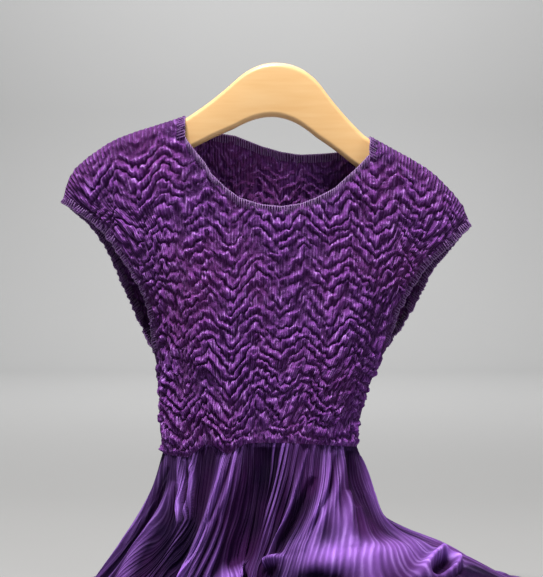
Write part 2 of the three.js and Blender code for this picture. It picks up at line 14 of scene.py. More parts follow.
import bpy
import numpy as np
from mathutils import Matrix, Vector

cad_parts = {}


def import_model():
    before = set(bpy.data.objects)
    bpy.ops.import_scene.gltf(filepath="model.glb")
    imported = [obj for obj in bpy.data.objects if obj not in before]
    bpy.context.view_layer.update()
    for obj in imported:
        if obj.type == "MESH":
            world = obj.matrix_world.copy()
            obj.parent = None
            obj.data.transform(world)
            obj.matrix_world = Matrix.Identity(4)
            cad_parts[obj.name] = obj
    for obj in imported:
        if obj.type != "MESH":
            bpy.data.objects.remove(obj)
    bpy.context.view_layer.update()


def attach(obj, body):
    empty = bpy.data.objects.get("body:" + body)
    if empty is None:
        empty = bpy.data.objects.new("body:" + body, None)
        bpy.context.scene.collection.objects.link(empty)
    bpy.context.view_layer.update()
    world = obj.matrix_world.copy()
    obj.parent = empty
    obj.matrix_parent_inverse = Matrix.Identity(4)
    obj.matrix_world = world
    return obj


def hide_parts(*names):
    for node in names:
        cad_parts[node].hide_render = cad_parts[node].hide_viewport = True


LOG = logging.getLogger("dress")
MM = 0.001
FLOOR_Z = -600.0
SEAM_GAP = 0.3
HANGER_TILT = math.radians(5.6)
UNDERARM_LEVEL = 1
SHOULDER_LEVEL = 2
TOP_LEVEL = 3
TINY = 1e-9


class Side(enum.Enum):
    """Which half of the garment a panel is; the value is the sign of its Y."""

    FRONT = -1
    BACK = 1


@dataclass(frozen=True)
class HangerStation:
    """The hanger's outline at a distance along one arm, measured down from its highest point."""

    along: float
    top: float
    bottom: float
    thickness: float = 1.0


@dataclass(frozen=True)
class PanelLevel:
    """Where a bodice panel's two edges are at a level, and how deep the body inside it is.

    Level 0 is the waist, 1 the underarm and 2 the outer end of the shoulder.
    """

    level: float
    left_x: float
    left_z: float
    right_x: float
    right_z: float
    edge: float
    middle: float
    rise: float = 0.0


@dataclass(frozen=True)
class OutlinePoint:
    """A point of an outline in the front view."""

    x: float
    z: float


@dataclass(frozen=True)
class SeamRise:
    """How far the waist seam rises above a straight line, at a share of the panel's width."""

    share: float
    rise: float


@dataclass(frozen=True)
class SkirtFold:
    """The run of the skirt at a share of the panel: headings in degrees, then its profile."""

    share: float
    fall: float
    fan: float
    hip_out: float
    hip_drop: float
    mid_out: float
    mid_drop: float
    foot: float


@dataclass(frozen=True)
class PleatHeight:
    """Half the height of the skirt's pleats at a distance down the cloth."""

    along: float
    pleat: float


@dataclass(frozen=True)
class Crease:
    """A ridge (height above 0) or trough (below 0) that runs down a skirt panel, by way of three shares; its
    height also makes the cloth painted lighter or darker as painted light and shade.
    """

    top_share: float
    mid_share: float
    end_share: float
    start: float
    end: float
    width: float
    height: float


@dataclass(frozen=True)
class Buckle:
    """A bump (height above 0) or hollow (below 0) on a skirt panel; its height also makes the cloth painted
    lighter or darker as painted light and shade, and any part of a hollow deeper than the cloth may sink is
    painted shade only.

    With a ring above 0, its height runs round its middle, that many half sizes away.
    """

    share: float
    along: float
    half_width: float
    half_length: float
    height: float
    slant: float = 0.0
    ring: float = 0.0


def rows_of(kind: type, *rows: tuple) -> tuple:
    """A table whose rows are all of one kind."""
    return tuple(kind(*row) for row in rows)


# The hanger, along one arm from its middle
HANGER = rows_of(
    HangerStation,
    (0, 0, 57),
    (12, 1.3, 58.6),
    (24, 5.3, 62.6),
    (36, 12.7, 69),
    (43, 19, 73.6),
    (50, 26.5, 77.5),
    (58, 35, 81.9),
    (71, 47.7, 89.6),
    (84, 59, 98),
    (96, 68.3, 105),
    (117, 77.3, 113),
    (131, 83.3, 115.6),
    (144, 88.7, 117.3),
    (163, 97.9, 122.5),
    (174, 105, 126.5, 0.95),
    (181, 111.5, 127, 0.8),
    (185, 116.5, 124, 0.45),
)

# Levels that the front and back bodice panels share
SIDE_SEAM = (
    (0, -125, -412, 79, -406, 0, 38),
    (0.33, -127, -378, 81, -376, 0, 37),
    (0.66, -129, -342, 91, -340, 0, 36),
    (1, -133, -309, 109, -301, 0, 34),
)

CAP_LEVELS = (
    (2, -230.5, -146, 198.5, -171, 9, 24),
    (3, -276, -112, 236, -142, 9, 13, 112),
)

FRONT_LEVELS = rows_of(
    PanelLevel,
    *SIDE_SEAM,
    (1.25, -138, -262, 120, -265, 8, 32),
    (1.45, -151, -228, 134, -238, 13, 30),
    (1.65, -172, -197, 153, -211, 14, 28),
    (1.83, -195, -169, 174, -193, 12, 26),
    *CAP_LEVELS,
)

BACK_LEVELS = rows_of(
    PanelLevel,
    *SIDE_SEAM,
    (1.25, -152, -268, 130, -272, 8, 32),
    (1.45, -168, -234, 146, -246, 13, 30),
    (1.65, -185, -197, 161, -217, 14, 28),
    (1.83, -204, -170, 178, -197, 12, 26),
    *CAP_LEVELS,
)

# Necklines in the front view, from left to right
FRONT_NECKLINE = rows_of(
    OutlinePoint,
    (-101, -79),
    (-92, -92),
    (-81, -105),
    (-73, -118),
    (-60, -131),
    (-44, -143),
    (-21, -150),
    (0, -152),
    (20, -149),
    (36, -143),
    (55, -133),
    (67, -122),
    (79, -111),
    (92, -97),
)

BACK_NECKLINE = rows_of(
    OutlinePoint,
    (-101, -70),
    (-75, -72),
    (-49, -76),
    (-21, -87),
    (0, -93),
    (20, -96),
    (41, -95),
    (55, -94),
    (75, -91),
    (92, -88),
)

# The waist seam, from the left side seam to the right
FRONT_WAIST = rows_of(
    SeamRise,
    (0, 0),
    (0.12, -1),
    (0.18, -1),
    (0.27, 12),
    (0.36, 2),
    (0.44, 12),
    (0.6, 12),
    (0.8, 7),
    (1, 0),
)

BACK_WAIST = rows_of(
    SeamRise,
    (0, 0),
    (0.3, 3),
    (0.5, -1),
    (0.7, 3),
    (1, 0),
)

# How the skirt falls and fans out, from the left side seam to the right
FRONT_FOLDS = rows_of(
    SkirtFold,
    (0, -180, -180, 17, 60, 64, 128, 118),
    (0.1, -164, -163, 17, 60, 64, 128, 116),
    (0.24, -146, -144, 18, 60, 56, 128, 104),
    (0.38, -136, -128, 26, 60, 64, 128, 104),
    (0.49, -150, -114, 4, 60, 20, 130, 48),
    (0.62, -134, -104, 16, 60, 46, 126, 96),
    (0.74, -130, -88, 24, 62, 58, 106, 150),
    (0.82, -114, -70, 26, 62, 60, 104, 172),
    (0.88, -86, -50, 26, 62, 64, 106, 192),
    (0.94, -42, -26, 28, 72, 88, 116, 240),
    (1, 0, 0, 30, 79, 114, 119, 300),
)

BACK_FOLDS = rows_of(
    SkirtFold,
    (0, 180, 180, 17, 60, 64, 128, 118),
    (0.25, 150, 178, 15, 60, 36, 130, 66),
    (0.36, 120, 156, 12, 60, 24, 130, 36),
    (0.5, 90, 90, 12, 60, 26, 130, 50),
    (0.75, 48, 46, 20, 64, 62, 126, 130),
    (0.9, 18, 17, 26, 74, 102, 120, 248),
    (1, 0, 0, 30, 79, 114, 119, 300),
)

PLEAT_HEIGHTS = rows_of(
    PleatHeight,
    (0, 0.5),
    (9, 1.1),
    (26, 1.6),
    (50, 2),
    (114, 2.4),
    (190, 2.5),
    (292, 1.7),
    (400, 1.3),
)

# Larger folds, placed one by one; the back ones are guessed after the front ones
FRONT_CREASES = rows_of(
    Crease,
    (0.035, 0.02, 0.01, 10, 170, 3.5, 3),
    (0.1, 0.05, 0.03, 16, 110, 1.6, 3),
    (0.085, 0.06, 0.05, 12, 180, 3, -5),
    (0.128, 0.186, 0.232, 0, 82, 2.6, 7),
    (0.155, 0.21, 0.245, 4, 70, 2, -4),
    (0.188, 0.245, 0.255, 4, 80, 1.8, 6),
    (0.14, 0.105, 0.165, 26, 180, 5.5, 8),
    (0.265, 0.312, 0.302, 2, 170, 9, -9),
    (0.36, 0.355, 0.348, 0, 190, 5, 11),
    (0.417, 0.385, 0.382, 8, 150, 2.4, 5),
    (0.39, 0.372, 0.365, 6, 140, 1.6, -4),
    (0.55, 0.53, 0.51, 4, 150, 17, -8.5),
    (0.718, 0.7, 0.71, 4, 124, 2.2, 7),
    (0.77, 0.745, 0.73, 34, 122, 4, -9),
    (0.735, 0.72, 0.72, 60, 122, 1.6, -6),
    (0.82, 0.815, 0.78, 8, 122, 4.5, 8),
    (0.85, 0.83, 0.8, 10, 110, 2, -5),
    (0.88, 0.845, 0.81, 12, 120, 3, 5),
    (0.897, 0.882, 0.884, 46, 116, 3.2, 8),
    (0.917, 0.917, 0.915, 4, 64, 4, -8),
    (0.938, 0.946, 0.95, 52, 150, 2.4, -5),
    (0.975, 0.947, 0.95, 10, 160, 3, 5),
    (0.985, 0.99, 0.985, 50, 210, 6, 3),
)

BACK_CREASES = rows_of(
    Crease,
    (0.1, 0.09, 0.08, 8, 160, 6, 7),
    (0.2, 0.18, 0.16, 10, 160, 5, -6),
    (0.27, 0.25, 0.24, 6, 160, 7, 9),
    (0.36, 0.37, 0.35, 10, 150, 4, -6),
    (0.44, 0.42, 0.41, 8, 160, 6, 8),
    (0.54, 0.55, 0.56, 6, 200, 12, -8),
    (0.64, 0.65, 0.65, 10, 230, 6, 9),
    (0.74, 0.73, 0.74, 10, 190, 4, -5),
    (0.81, 0.82, 0.83, 14, 240, 6, 8),
    (0.92, 0.93, 0.92, 14, 260, 5, 7),
)

# The hollows from 143 mm down sink the cloth less than their height, and the one at 214 mm not at all: their
# depth darkens it as painted shade, for the ring's dark middle and the shadowed layers at the right.
FRONT_BUCKLES = rows_of(
    Buckle,
    (0.485, 135, 15, 9, 25, 0.3),
    (0.55, 146, 18, 7, -12),
    (0.735, 129, 15, 5.5, 12, 0.1),
    (0.7, 143, 19, 7, -15),
    (0.845, 146, 12, 7, -14),
    (0.885, 126, 34, 19, 13),
    (0.35, 132, 4, 16, 7),
    (0.963, 163, 5.5, 5, 13, 0, 2.2),
    (0.963, 163, 6, 5, -17),
    (0.935, 176, 9, 12, -14),
    (1, 214, 26, 30, -22),
)

BACK_BUCKLES = rows_of(
    Buckle,
    (0.3, 170, 20, 14, 6),
    (0.58, 160, 24, 12, 8),
    (0.8, 180, 20, 16, 6),
)


def named(rows: Sequence[object], name: str) -> np.ndarray:
    """One named column of a table, as an array."""
    return np.array([getattr(row, name) for row in rows], float)


def table_at(rows: Sequence[object], key: str, name: str, values: np.ndarray) -> np.ndarray:
    """Reads a table as a smooth curve through its rows.

    Args:
        rows: The table.
        key: The column that the values are in.
        name: The column to read.
        values: Where to read it, any shape.

    Returns:
        The column's value at each place.
    """
    keys = named(rows, key)
    column = named(rows, name)
    index = np.arange(len(keys))
    before = np.maximum(index - 1, 0)
    after = np.minimum(index + 1, len(keys) - 1)
    slopes = (column[after] - column[before]) / (keys[after] - keys[before])
    low = np.clip(np.searchsorted(keys, values, side="left") - 1, 0, len(keys) - 2)
    span = keys[low + 1] - keys[low]
    t = np.clip((values - keys[low]) / span, 0, 1)
    rest = 1 - t
    ends = rest * rest * (1 + 2 * t) * column[low] + t * t * (1 + 2 * rest) * column[low + 1]
    return ends + span * t * rest * (rest * slopes[low] - t * slopes[low + 1])


def smooth(values: np.ndarray, start: float, end: float) -> np.ndarray:
    """Rises smoothly from 0 at start to 1 at end."""
    t = np.clip((np.asarray(values, float) - start) / (end - start), 0, 1)
    return t * t * (3 - 2 * t)


def tilted(along: np.ndarray | float, drop: np.ndarray | float) -> tuple[np.ndarray, np.ndarray]:
    """A point of the hanger's own front view, turned by the hanger's tilt.

    Args:
        along: Distance to the right of the hanger's top.
        drop: Distance below it.

    Returns:
        Its X and Z.
    """
    x = along * math.cos(HANGER_TILT) - drop * math.sin(HANGER_TILT)
    z = -along * math.sin(HANGER_TILT) - drop * math.cos(HANGER_TILT)
    return x, z


def polyline_distance(x: np.ndarray, z: np.ndarray, runs: Sequence[np.ndarray]) -> np.ndarray:
    """Distance in the front view from each place to the nearest of several lines.

    Args:
        x: Places across the front view.
        z: Their heights.
        runs: Each line's points, shaped (count, 2).

    Returns:
        The distances.
    """
    nearest = np.full(x.shape, np.inf)
    for run in runs:
        for start, end in zip(run[:-1], run[1:]):
            step = end - start
            t = ((x - start[0]) * step[0] + (z - start[1]) * step[1]) / max(step @ step, TINY)
            t = np.clip(t, 0, 1)
            away = np.hypot(x - start[0] - t * step[0], z - start[1] - t * step[1])
            nearest = np.minimum(nearest, away)
    return nearest


@dataclass(frozen=True)
class Unevenness:
    """Smooth random values over a plane, the same on each run.

    They change over about 1 / rate of the first coordinate and about size of the second.
    """

    seed: int
    rate: float
    size: float
    height: float
    cells: int = 64

    def at(self, x: np.ndarray, y: np.ndarray) -> np.ndarray:
        """Values between minus and plus the height.

        Args:
            x: First coordinate.
            y: Second coordinate.

        Returns:
            The value at each place.
        """
        lattice = np.random.default_rng(self.seed).uniform(-1, 1, (self.cells, self.cells))
        x = x * self.rate
        y = y / self.size
        column = np.floor(x).astype(int)
        row = np.floor(y).astype(int)
        across = smooth(x - column, 0, 1)
        up = smooth(y - row, 0, 1)
        corner = [lattice[(column + i) % self.cells, (row + j) % self.cells] for i in (0, 1) for j in (0, 1)]
        low = corner[0] * (1 - across) + corner[2] * across
        high = corner[1] * (1 - across) + corner[3] * across
        return self.height * (low * (1 - up) + high * up)


def summed(layers: Sequence[Unevenness], x: np.ndarray, y: np.ndarray) -> np.ndarray:
    """Several layers of unevenness, added up."""
    return sum(layer.at(x, y) for layer in layers)


def surface_normals(points: np.ndarray) -> np.ndarray:
    """Unit normals of a grid of points, from its first axis towards its second.

    Args:
        points: The grid, shaped (columns, rows, 3).

    Returns:
        Normals of the same shape.
    """
    across = np.gradient(points, axis=0)
    up = np.gradient(points, axis=1)
    normals = np.cross(across, up)
    lengths = np.linalg.norm(normals, axis=2, keepdims=True)
    return normals / np.maximum(lengths, TINY)


@dataclass(frozen=True)
class ClothGrid:
    """A sheet of cloth as a grid of points, with what its finish reads; its lift is painted light and shade,
    from 0 in painted shade to 1 where painted lit.
    """

    name: str
    points: np.ndarray
    pleat: np.ndarray
    row: np.ndarray
    # Painted light and shade, from 0 in painted shade to 1 where painted lit.
    lift: np.ndarray
    calm: np.ndarray
    present: np.ndarray
    flipped: bool

    def build(self) -> bpy.types.Object:
        """Makes the mesh object, in metres, from the squares that are present, with its pleat map.

        Returns:
            The object.
        """
        columns, rows = self.points.shape[:2]
        ids = np.arange(columns * rows).reshape(columns, rows)
        corners = [ids[:-1, :-1], ids[1:, :-1], ids[1:, 1:], ids[:-1, 1:]]
        if self.flipped:
            corners.reverse()
        quads = np.stack(corners, axis=-1)[self.present]
        used, places = np.unique(quads, return_inverse=True)
        quads = places.reshape(-1, 4)
        mesh = bpy.data.meshes.new(self.name)
        mesh.vertices.add(len(used))
        kept = self.points.reshape(-1, 3)[used]
        mesh.vertices.foreach_set("co", (kept * MM).reshape(-1).astype(np.float32))
        mesh.loops.add(quads.size)
        mesh.loops.foreach_set("vertex_index", quads.reshape(-1).astype(np.int32))
        mesh.polygons.add(len(quads))
        mesh.polygons.foreach_set("loop_start", np.arange(0, quads.size, 4, dtype=np.int32))
        mesh.polygons.foreach_set("use_smooth", np.ones(len(quads), dtype=bool))
        mesh.update(calc_edges=True)
        layer = mesh.uv_layers.new(name="pleats")
        mapped = np.stack([self.pleat.reshape(-1), self.row.reshape(-1)], axis=1)[used][quads.reshape(-1)]
        layer.data.foreach_set("uv", mapped.reshape(-1).astype(np.float32))
        for name, values in (("lift", self.lift), ("calm", self.calm)):
            attribute = mesh.attributes.new(name, "FLOAT", "POINT")
            attribute.data.foreach_set("value", values.reshape(-1)[used].astype(np.float32))
        mesh.validate()
        return place_object(self.name, mesh)


def place_object(name: str, data: bpy.types.ID) -> bpy.types.Object:
    """Puts a mesh, light or camera into the scene as an object of that name.

    Args:
        name: The object's name.
        data: What it shows.

    Returns:
        The object.
    """
    made = bpy.data.objects.new(name, data)
    bpy.context.scene.collection.objects.link(made)
    return made


def aim(placed: bpy.types.Object, target: Vector) -> None:
    """Turns a light or camera to face a target."""
    placed.rotation_euler = (target - placed.location).to_track_quat("-Z", "Y").to_euler()


def tube_faces(start: int, rings: int, around: int) -> list[tuple[int, ...]]:
    """Faces of a closed tube whose rings of corners follow each other.

    Args:
        start: Number of its first corner.
        rings: How many rings it has.
        around: How many corners each ring has.

    Returns:
        Each face's corner numbers.
    """
    faces = []
    for ring in range(rings - 1):
        for step in range(around):
            after = (step + 1) % around
            low = start + ring * around
            faces.append((low + step, low + after, low + after + around, low + step + around))
    end = start + (rings - 1) * around
    faces.append(tuple(start + step for step in reversed(range(around))))
    faces.append(tuple(end + step for step in range(around)))
    return faces


def solid_object(name: str, points: np.ndarray, faces: Sequence[Sequence[int]]) -> bpy.types.Object:
    """Makes a smooth-shaded mesh object.

    Args:
        name: The object's name.
        points: Corners in millimetres, shaped (count, 3).
        faces: Each face's corner numbers.

    Returns:
        The object.
    """
    mesh = bpy.data.meshes.new(name)
    mesh.from_pydata((points * MM).tolist(), [], [list(face) for face in faces])
    mesh.polygons.foreach_set("use_smooth", np.ones(len(mesh.polygons), dtype=bool))
    mesh.update()
    return place_object(name, mesh)


class Signal:
    """A number that a node's socket carries, with ordinary arithmetic."""

    def __init__(self, sheet: NodeSheet, socket: bpy.types.NodeSocket) -> None:
        """Wraps a socket of a node sheet."""
        self.sheet = sheet
        self.socket = socket

    def _math(self, operation: str, first: object, second: object = None) -> Signal:
        """Adds one Math node and returns what it gives.

        Args:
            operation: What the node does.
            first: A signal or a number.
            second: Another, where the node takes two.

        Returns:
            The result.
        """
        values = {0: first} if second is None else {0: first, 1: second}
        node = self.sheet.node("ShaderNodeMath", {"operation": operation}, values)
        return Signal(self.sheet, node.outputs[0])

    def __add__(self, other: object) -> Signal:
        """This plus other."""
        return self._math("ADD", self, other)

    __radd__ = __add__

    def __mul__(self, other: object) -> Signal:
        """This times other."""
        return self._math("MULTIPLY", self, other)

    __rmul__ = __mul__

    def __sub__(self, other: object) -> Signal:
        """This less other."""
        return self._math("SUBTRACT", self, other)

    def __rsub__(self, other: object) -> Signal:
        """Other less this."""
        return self._math("SUBTRACT", other, self)

    def clamped(self) -> Signal:
        """This, kept between 0 and 1."""
        node = self.sheet.node("ShaderNodeClamp", None, {"Value": self})
        return Signal(self.sheet, node.outputs[0])

    def sine(self) -> Signal:
        """The sine of this, in radians."""
        return self._math("SINE", self)


class NodeSheet:
    """The nodes of one material, made from a clean sheet."""

    def __init__(self, name: str) -> None:
        """Makes the material with a shader and its output.

        Args:
            name: The material's name.
        """
        self.material = bpy.data.materials.new(name)
        self.material.use_nodes = True
        self.tree = self.material.node_tree
        self.tree.nodes.clear()
        self.shader = self.node("ShaderNodeBsdfPrincipled")
        output = self.node("ShaderNodeOutputMaterial")
        self.tree.links.new(self.shader.outputs["BSDF"], output.inputs["Surface"])

    def node(self, kind: str, settings: dict | None = None, sockets: dict | None = None) -> bpy.types.Node:
        """Adds a node.

        Args:
            kind: The node's type.
            settings: Its own settings, set first.
            sockets: Values or links, by the socket's name or number.

        Returns:
            The node.
        """
        made = self.tree.nodes.new(kind)
        for name, value in (settings or {}).items():
            setattr(made, name, value)
        for key, value in (sockets or {}).items():
            self.feed(made.inputs[key], value)
        return made

    def feed(self, socket: bpy.types.NodeSocket, value: object) -> None:
        """Links a signal or a socket to a socket, or sets its value.

        Args:
            socket: The socket.
            value: A signal, a socket or a plain value.
        """
        if isinstance(value, Signal):
            self.tree.links.new(value.socket, socket)
        elif isinstance(value, bpy.types.NodeSocket):
            self.tree.links.new(value, socket)
        else:
            socket.default_value = value

    def signal(self, node: bpy.types.Node, output: str | int = 0) -> Signal:
        """One output of a node, as a signal."""
        return Signal(self, node.outputs[output])

    def place(self) -> bpy.types.NodeSocket:
        """Places in the object's own space."""
        return self.node("ShaderNodeTexCoord").outputs["Object"]

    def attribute(self, name: str) -> Signal:
        """A number that the mesh carries at each of its points."""
        return self.signal(self.node("ShaderNodeAttribute", {"attribute_name": name}), "Fac")

    def finished(self, sockets: dict) -> bpy.types.Material:
        """Feeds the shader's sockets and gives the material.

        Args:
            sockets: Values or links, by the socket's name.

        Returns:
            The material.
        """
        for name, value in sockets.items():
            self.feed(self.shader.inputs[name], value)
        return self.material

    def mix_colours(self, share: object, first: object, second: object) -> bpy.types.NodeSocket:
        """Mixes two colours by a share from 0 to 1."""
        settings = {"data_type": "RGBA"}
        return self.node("ShaderNodeMix", settings, {0: share, 6: first, 7: second}).outputs[2]

    def noise(self, place: object, scale: float, detail: float = 3.0) -> Signal:
        """Cloudy values from 0 to 1 over a place."""
        sockets = {"Vector": place, "Scale": scale, "Detail": detail}
        return self.signal(self.node("ShaderNodeTexNoise", None, sockets), 0)

    def bumped(self, height: Signal, distance: float, strength: float) -> bpy.types.NodeSocket:
        """A normal from a height in units of the distance."""
        sockets = {"Height": height, "Distance": distance, "Strength": strength}
        return self.node("ShaderNodeBump", None, sockets).outputs["Normal"]


def scaled(colour: tuple, share: float) -> tuple:
    """A colour made darker or paler by a share."""
    return tuple(min(channel * share, 1) for channel in colour[:3]) + (1,)


@dataclass(frozen=True)
class CrepeFinish:
    """Purple crepe: fine pleats broken into strokes, with painted light and shade: the mesh's lift attribute
    mixes a painted shaded trough colour into a painted lit ridge colour, so ridges look lighter than the
    troughs.

    The values named light, contrast and start say how far strokes, pleats and warm patches change its colour.
    Those named bump are heights in units of bump_depth, which is in metres.
    """

    name: str
    lit_ridge_colour: tuple = (0.24, 0.062, 0.37, 1)
    shaded_trough_colour: tuple = (0.034, 0.005, 0.056, 1)
    stroke_highlight_colour: tuple = (0.53, 0.25, 0.75, 1)
    warm_colour: tuple = (0.17, 0.028, 0.18, 1)
    sheen_colour: tuple = (0.75, 0.38, 0.9, 1)
    roughness: float = 0.8
    sheen: float = 0.12
    sheen_roughness: float = 0.4
    specular: float = 0.14
    stroke_start: float = 0.54
    stroke_contrast: float = 6.5
    pleat_contrast: float = 0.8
    trough_streak: float = 0.06
    stroke_light: float = 1.1
    pleat_light: float = 0.45
    plain_light: float = 0.2
    warm_start: float = 0.42
    warmth: float = 1.6
    wander: float = 5.0
    wander_scale: float = 90.0
    grain_scale: float = 900.0
    patch_scale: float = 14.0
    pleats_per_step: float = 1.0
    stroke_rows: float = 1.0
    bump_depth: float = 0.0026
    bump_strength: float = 0.9
    pleat_bump: float = 0.4
    calm_bump: float = 0.6
    stroke_bump: float = 1.3
    grain_bump: float = 0.5

    def build(self) -> bpy.types.Material:
        """Makes the material.

        Returns:
            The material.
        """
        sheet = NodeSheet(self.name)
        place = sheet.place()
        uv = sheet.node("ShaderNodeUVMap", {"uv_map": "pleats"}).outputs["UV"]
        across = sheet.signal(sheet.node("ShaderNodeSeparateXYZ", None, {"Vector": uv}), "X")
        # The mesh's painted light and shade, from 0 in painted shade to 1 where painted lit.
        lift = sheet.attribute("lift")
        spread = (self.pleats_per_step, self.stroke_rows, 1.0)
        cells = sheet.node("ShaderNodeMapping", None, {"Vector": uv, "Scale": spread}).outputs["Vector"]
        strokes = sheet.noise(cells, 1.0, 3.0)
        sway = sheet.noise(place, self.wander_scale, 2.0) * self.wander
        pleats = (across * (math.tau * self.pleats_per_step) + sway).sine() * 0.5 + 0.5
        grain = sheet.noise(place, self.grain_scale, 2.0)
        patches = sheet.noise(place, self.patch_scale, 3.0)
        height = pleats * (sheet.attribute("calm") * self.calm_bump + self.pleat_bump)
        height = height + strokes * self.stroke_bump + grain * self.grain_bump
        # Painted light: lift, raised on strokes and pleats, mixes the painted shaded trough colour into the
        # painted lit ridge colour.
        light = lift * (strokes * self.stroke_light + pleats * self.pleat_light + self.plain_light)
        tone = sheet.mix_colours(light.clamped(), self.shaded_trough_colour, self.lit_ridge_colour)
        warm = (patches - self.warm_start) * self.warmth
        tinted = sheet.mix_colours(warm.clamped(), tone, self.warm_colour)
        # The strokes and fine pleats are the cloth's own texture, painted bright as highlights, mostly where
        # lift is lit.
        painted_highlight = (strokes - self.stroke_start) * self.stroke_contrast + (pleats - 0.5) * self.pleat_contrast
        painted_highlight = (painted_highlight * (lift + self.trough_streak)).clamped()
        return sheet.finished({
            "Base Color": sheet.mix_colours(painted_highlight, tinted, self.stroke_highlight_colour),
            "Roughness": self.roughness,
            "Specular IOR Level": self.specular,
            "Sheen Weight": self.sheen,
            "Sheen Roughness": self.sheen_roughness,
            "Sheen Tint": self.sheen_colour,
            "Normal": sheet.bumped(height, self.bump_depth, self.bump_strength),
        })


# The skirt's crepe, with a paler painted lit ridge colour and a near black painted shaded trough colour.
PLEATED_CREPE = CrepeFinish(
    "pleated_crepe",
    lit_ridge_colour=(0.44, 0.185, 0.8, 1),
    shaded_trough_colour=(0.008, 0.0015, 0.02, 1),
    stroke_highlight_colour=(0.55, 0.33, 0.85, 1),
    warm_colour=(0.13, 0.018, 0.17, 1),
    sheen=0.02,
    specular=0.08,
    stroke_contrast=3.0,
    warmth=0.9,
    wander=1.2,
    pleats_per_step=3.0,
    stroke_rows=0.025,
    bump_depth=0.0014,
)


@dataclass(frozen=True)
class ThreadFinish:
    """Overlock thread, a little lighter than the cloth."""

    name: str
    colour: tuple = (0.265, 0.105, 0.385, 1)
    shadow: float = 0.55
    fibre_scale: float = 900.0
    roughness: float = 0.6
    sheen: float = 0.3
    bump_depth: float = 0.0002
    bump_strength: float = 0.6

    def build(self) -> bpy.types.Material:
        """Makes the material.

        Returns:
            The material.
        """
        sheet = NodeSheet(self.name)
        fibre = sheet.noise(sheet.place(), self.fibre_scale, 2.0)
        return sheet.finished({
            "Base Color": sheet.mix_colours(fibre, scaled(self.colour, self.shadow), self.colour),
            "Roughness": self.roughness,
            "Sheen Weight": self.sheen,
            "Normal": sheet.bumped(fibre, self.bump_depth, self.bump_strength),
        })


@dataclass(frozen=True)
class WoodFinish:
    """Pale wood under a satin varnish, its grain along the hanger."""

    name: str
    light: tuple = (0.88, 0.59, 0.29, 1)
    dark: tuple = (0.77, 0.44, 0.175, 1)
    stretch: tuple = (9.0, 60.0, 90.0)
    grain_scale: float = 2.2
    grain_detail: float = 5.0
    broad_scale: float = 11.0
    grain_share: float = 0.6
    broad_share: float = 0.4
    dark_start: float = 0.25
    contrast: float = 1.5
    roughness: float = 0.32
    grain_roughness: float = 0.16
    coat: float = 0.25
    coat_roughness: float = 0.2
    bump_depth: float = 0.0003
    bump_strength: float = 0.25

    def build(self) -> bpy.types.Material:
        """Makes the material.

        Returns:
            The material.
        """
        sheet = NodeSheet(self.name)
        place = sheet.place()
        stretched = sheet.node("ShaderNodeMapping", None, {"Vector": place, "Scale": self.stretch})
        grain = sheet.noise(stretched.outputs["Vector"], self.grain_scale, self.grain_detail)
        broad = sheet.noise(place, self.broad_scale, 2.0)
        share = (grain * self.grain_share + broad * self.broad_share - self.dark_start) * self.contrast
        return sheet.finished({
            "Base Color": sheet.mix_colours(share, self.dark, self.light),
            "Roughness": self.roughness + grain * self.grain_roughness,
            "Coat Weight": self.coat,
            "Coat Roughness": self.coat_roughness,
            "Normal": sheet.bumped(grain, self.bump_depth, self.bump_strength),
        })


@dataclass(frozen=True)
class PaperFinish:
    """A matt, even grey for the floor and the backdrop."""

    name: str
    grey: float = 0.3
    clouds: float = 1.02
    cloud_scale: float = 3.0
    roughness: float = 0.95

    def build(self) -> bpy.types.Material:
        """Makes the material.

        Returns:
            The material.
        """
        sheet = NodeSheet(self.name)
        cloud = sheet.noise(sheet.place(), self.cloud_scale, 2.0)
        shade = (self.grey, self.grey, self.grey, 1)
        return sheet.finished({
            "Base Color": sheet.mix_colours(cloud, shade, scaled(shade, self.clouds)),
            "Roughness": self.roughness,
            "Specular IOR Level": 0.0,
        })


@dataclass(frozen=True)
class Waist:
    """The oval of the waist seam."""

    centre_x: float = -23
    half_width: float = 102
    half_depth: float = 38
    left_z: float = -412
    right_z: float = -406
    samples: int = 400

    def angle(self, share: np.ndarray) -> np.ndarray:
        """Angle on the half oval at a share of its length, from the left seam.

        Args:
            share: From 0 at the left seam to 1 at the right.

        Returns:
            The angle at each share, in radians.
        """
        step = math.pi / self.samples
        middle = (np.arange(self.samples) + 0.5) * step
        speed = np.hypot(self.half_width * np.sin(middle), self.half_depth * np.cos(middle))
        length = np.concatenate([[0], np.cumsum(speed * step)])
        return np.interp(np.clip(share, 0, 1) * length[-1], length, np.arange(self.samples + 1) * step)

    def z(self, rises: Sequence[SeamRise], share: np.ndarray) -> np.ndarray:
        """Height of the seam at each share."""
        across = (1 - np.cos(self.angle(share))) / 2
        return self.left_z + (self.right_z - self.left_z) * across + table_at(rises, "share", "rise", share)


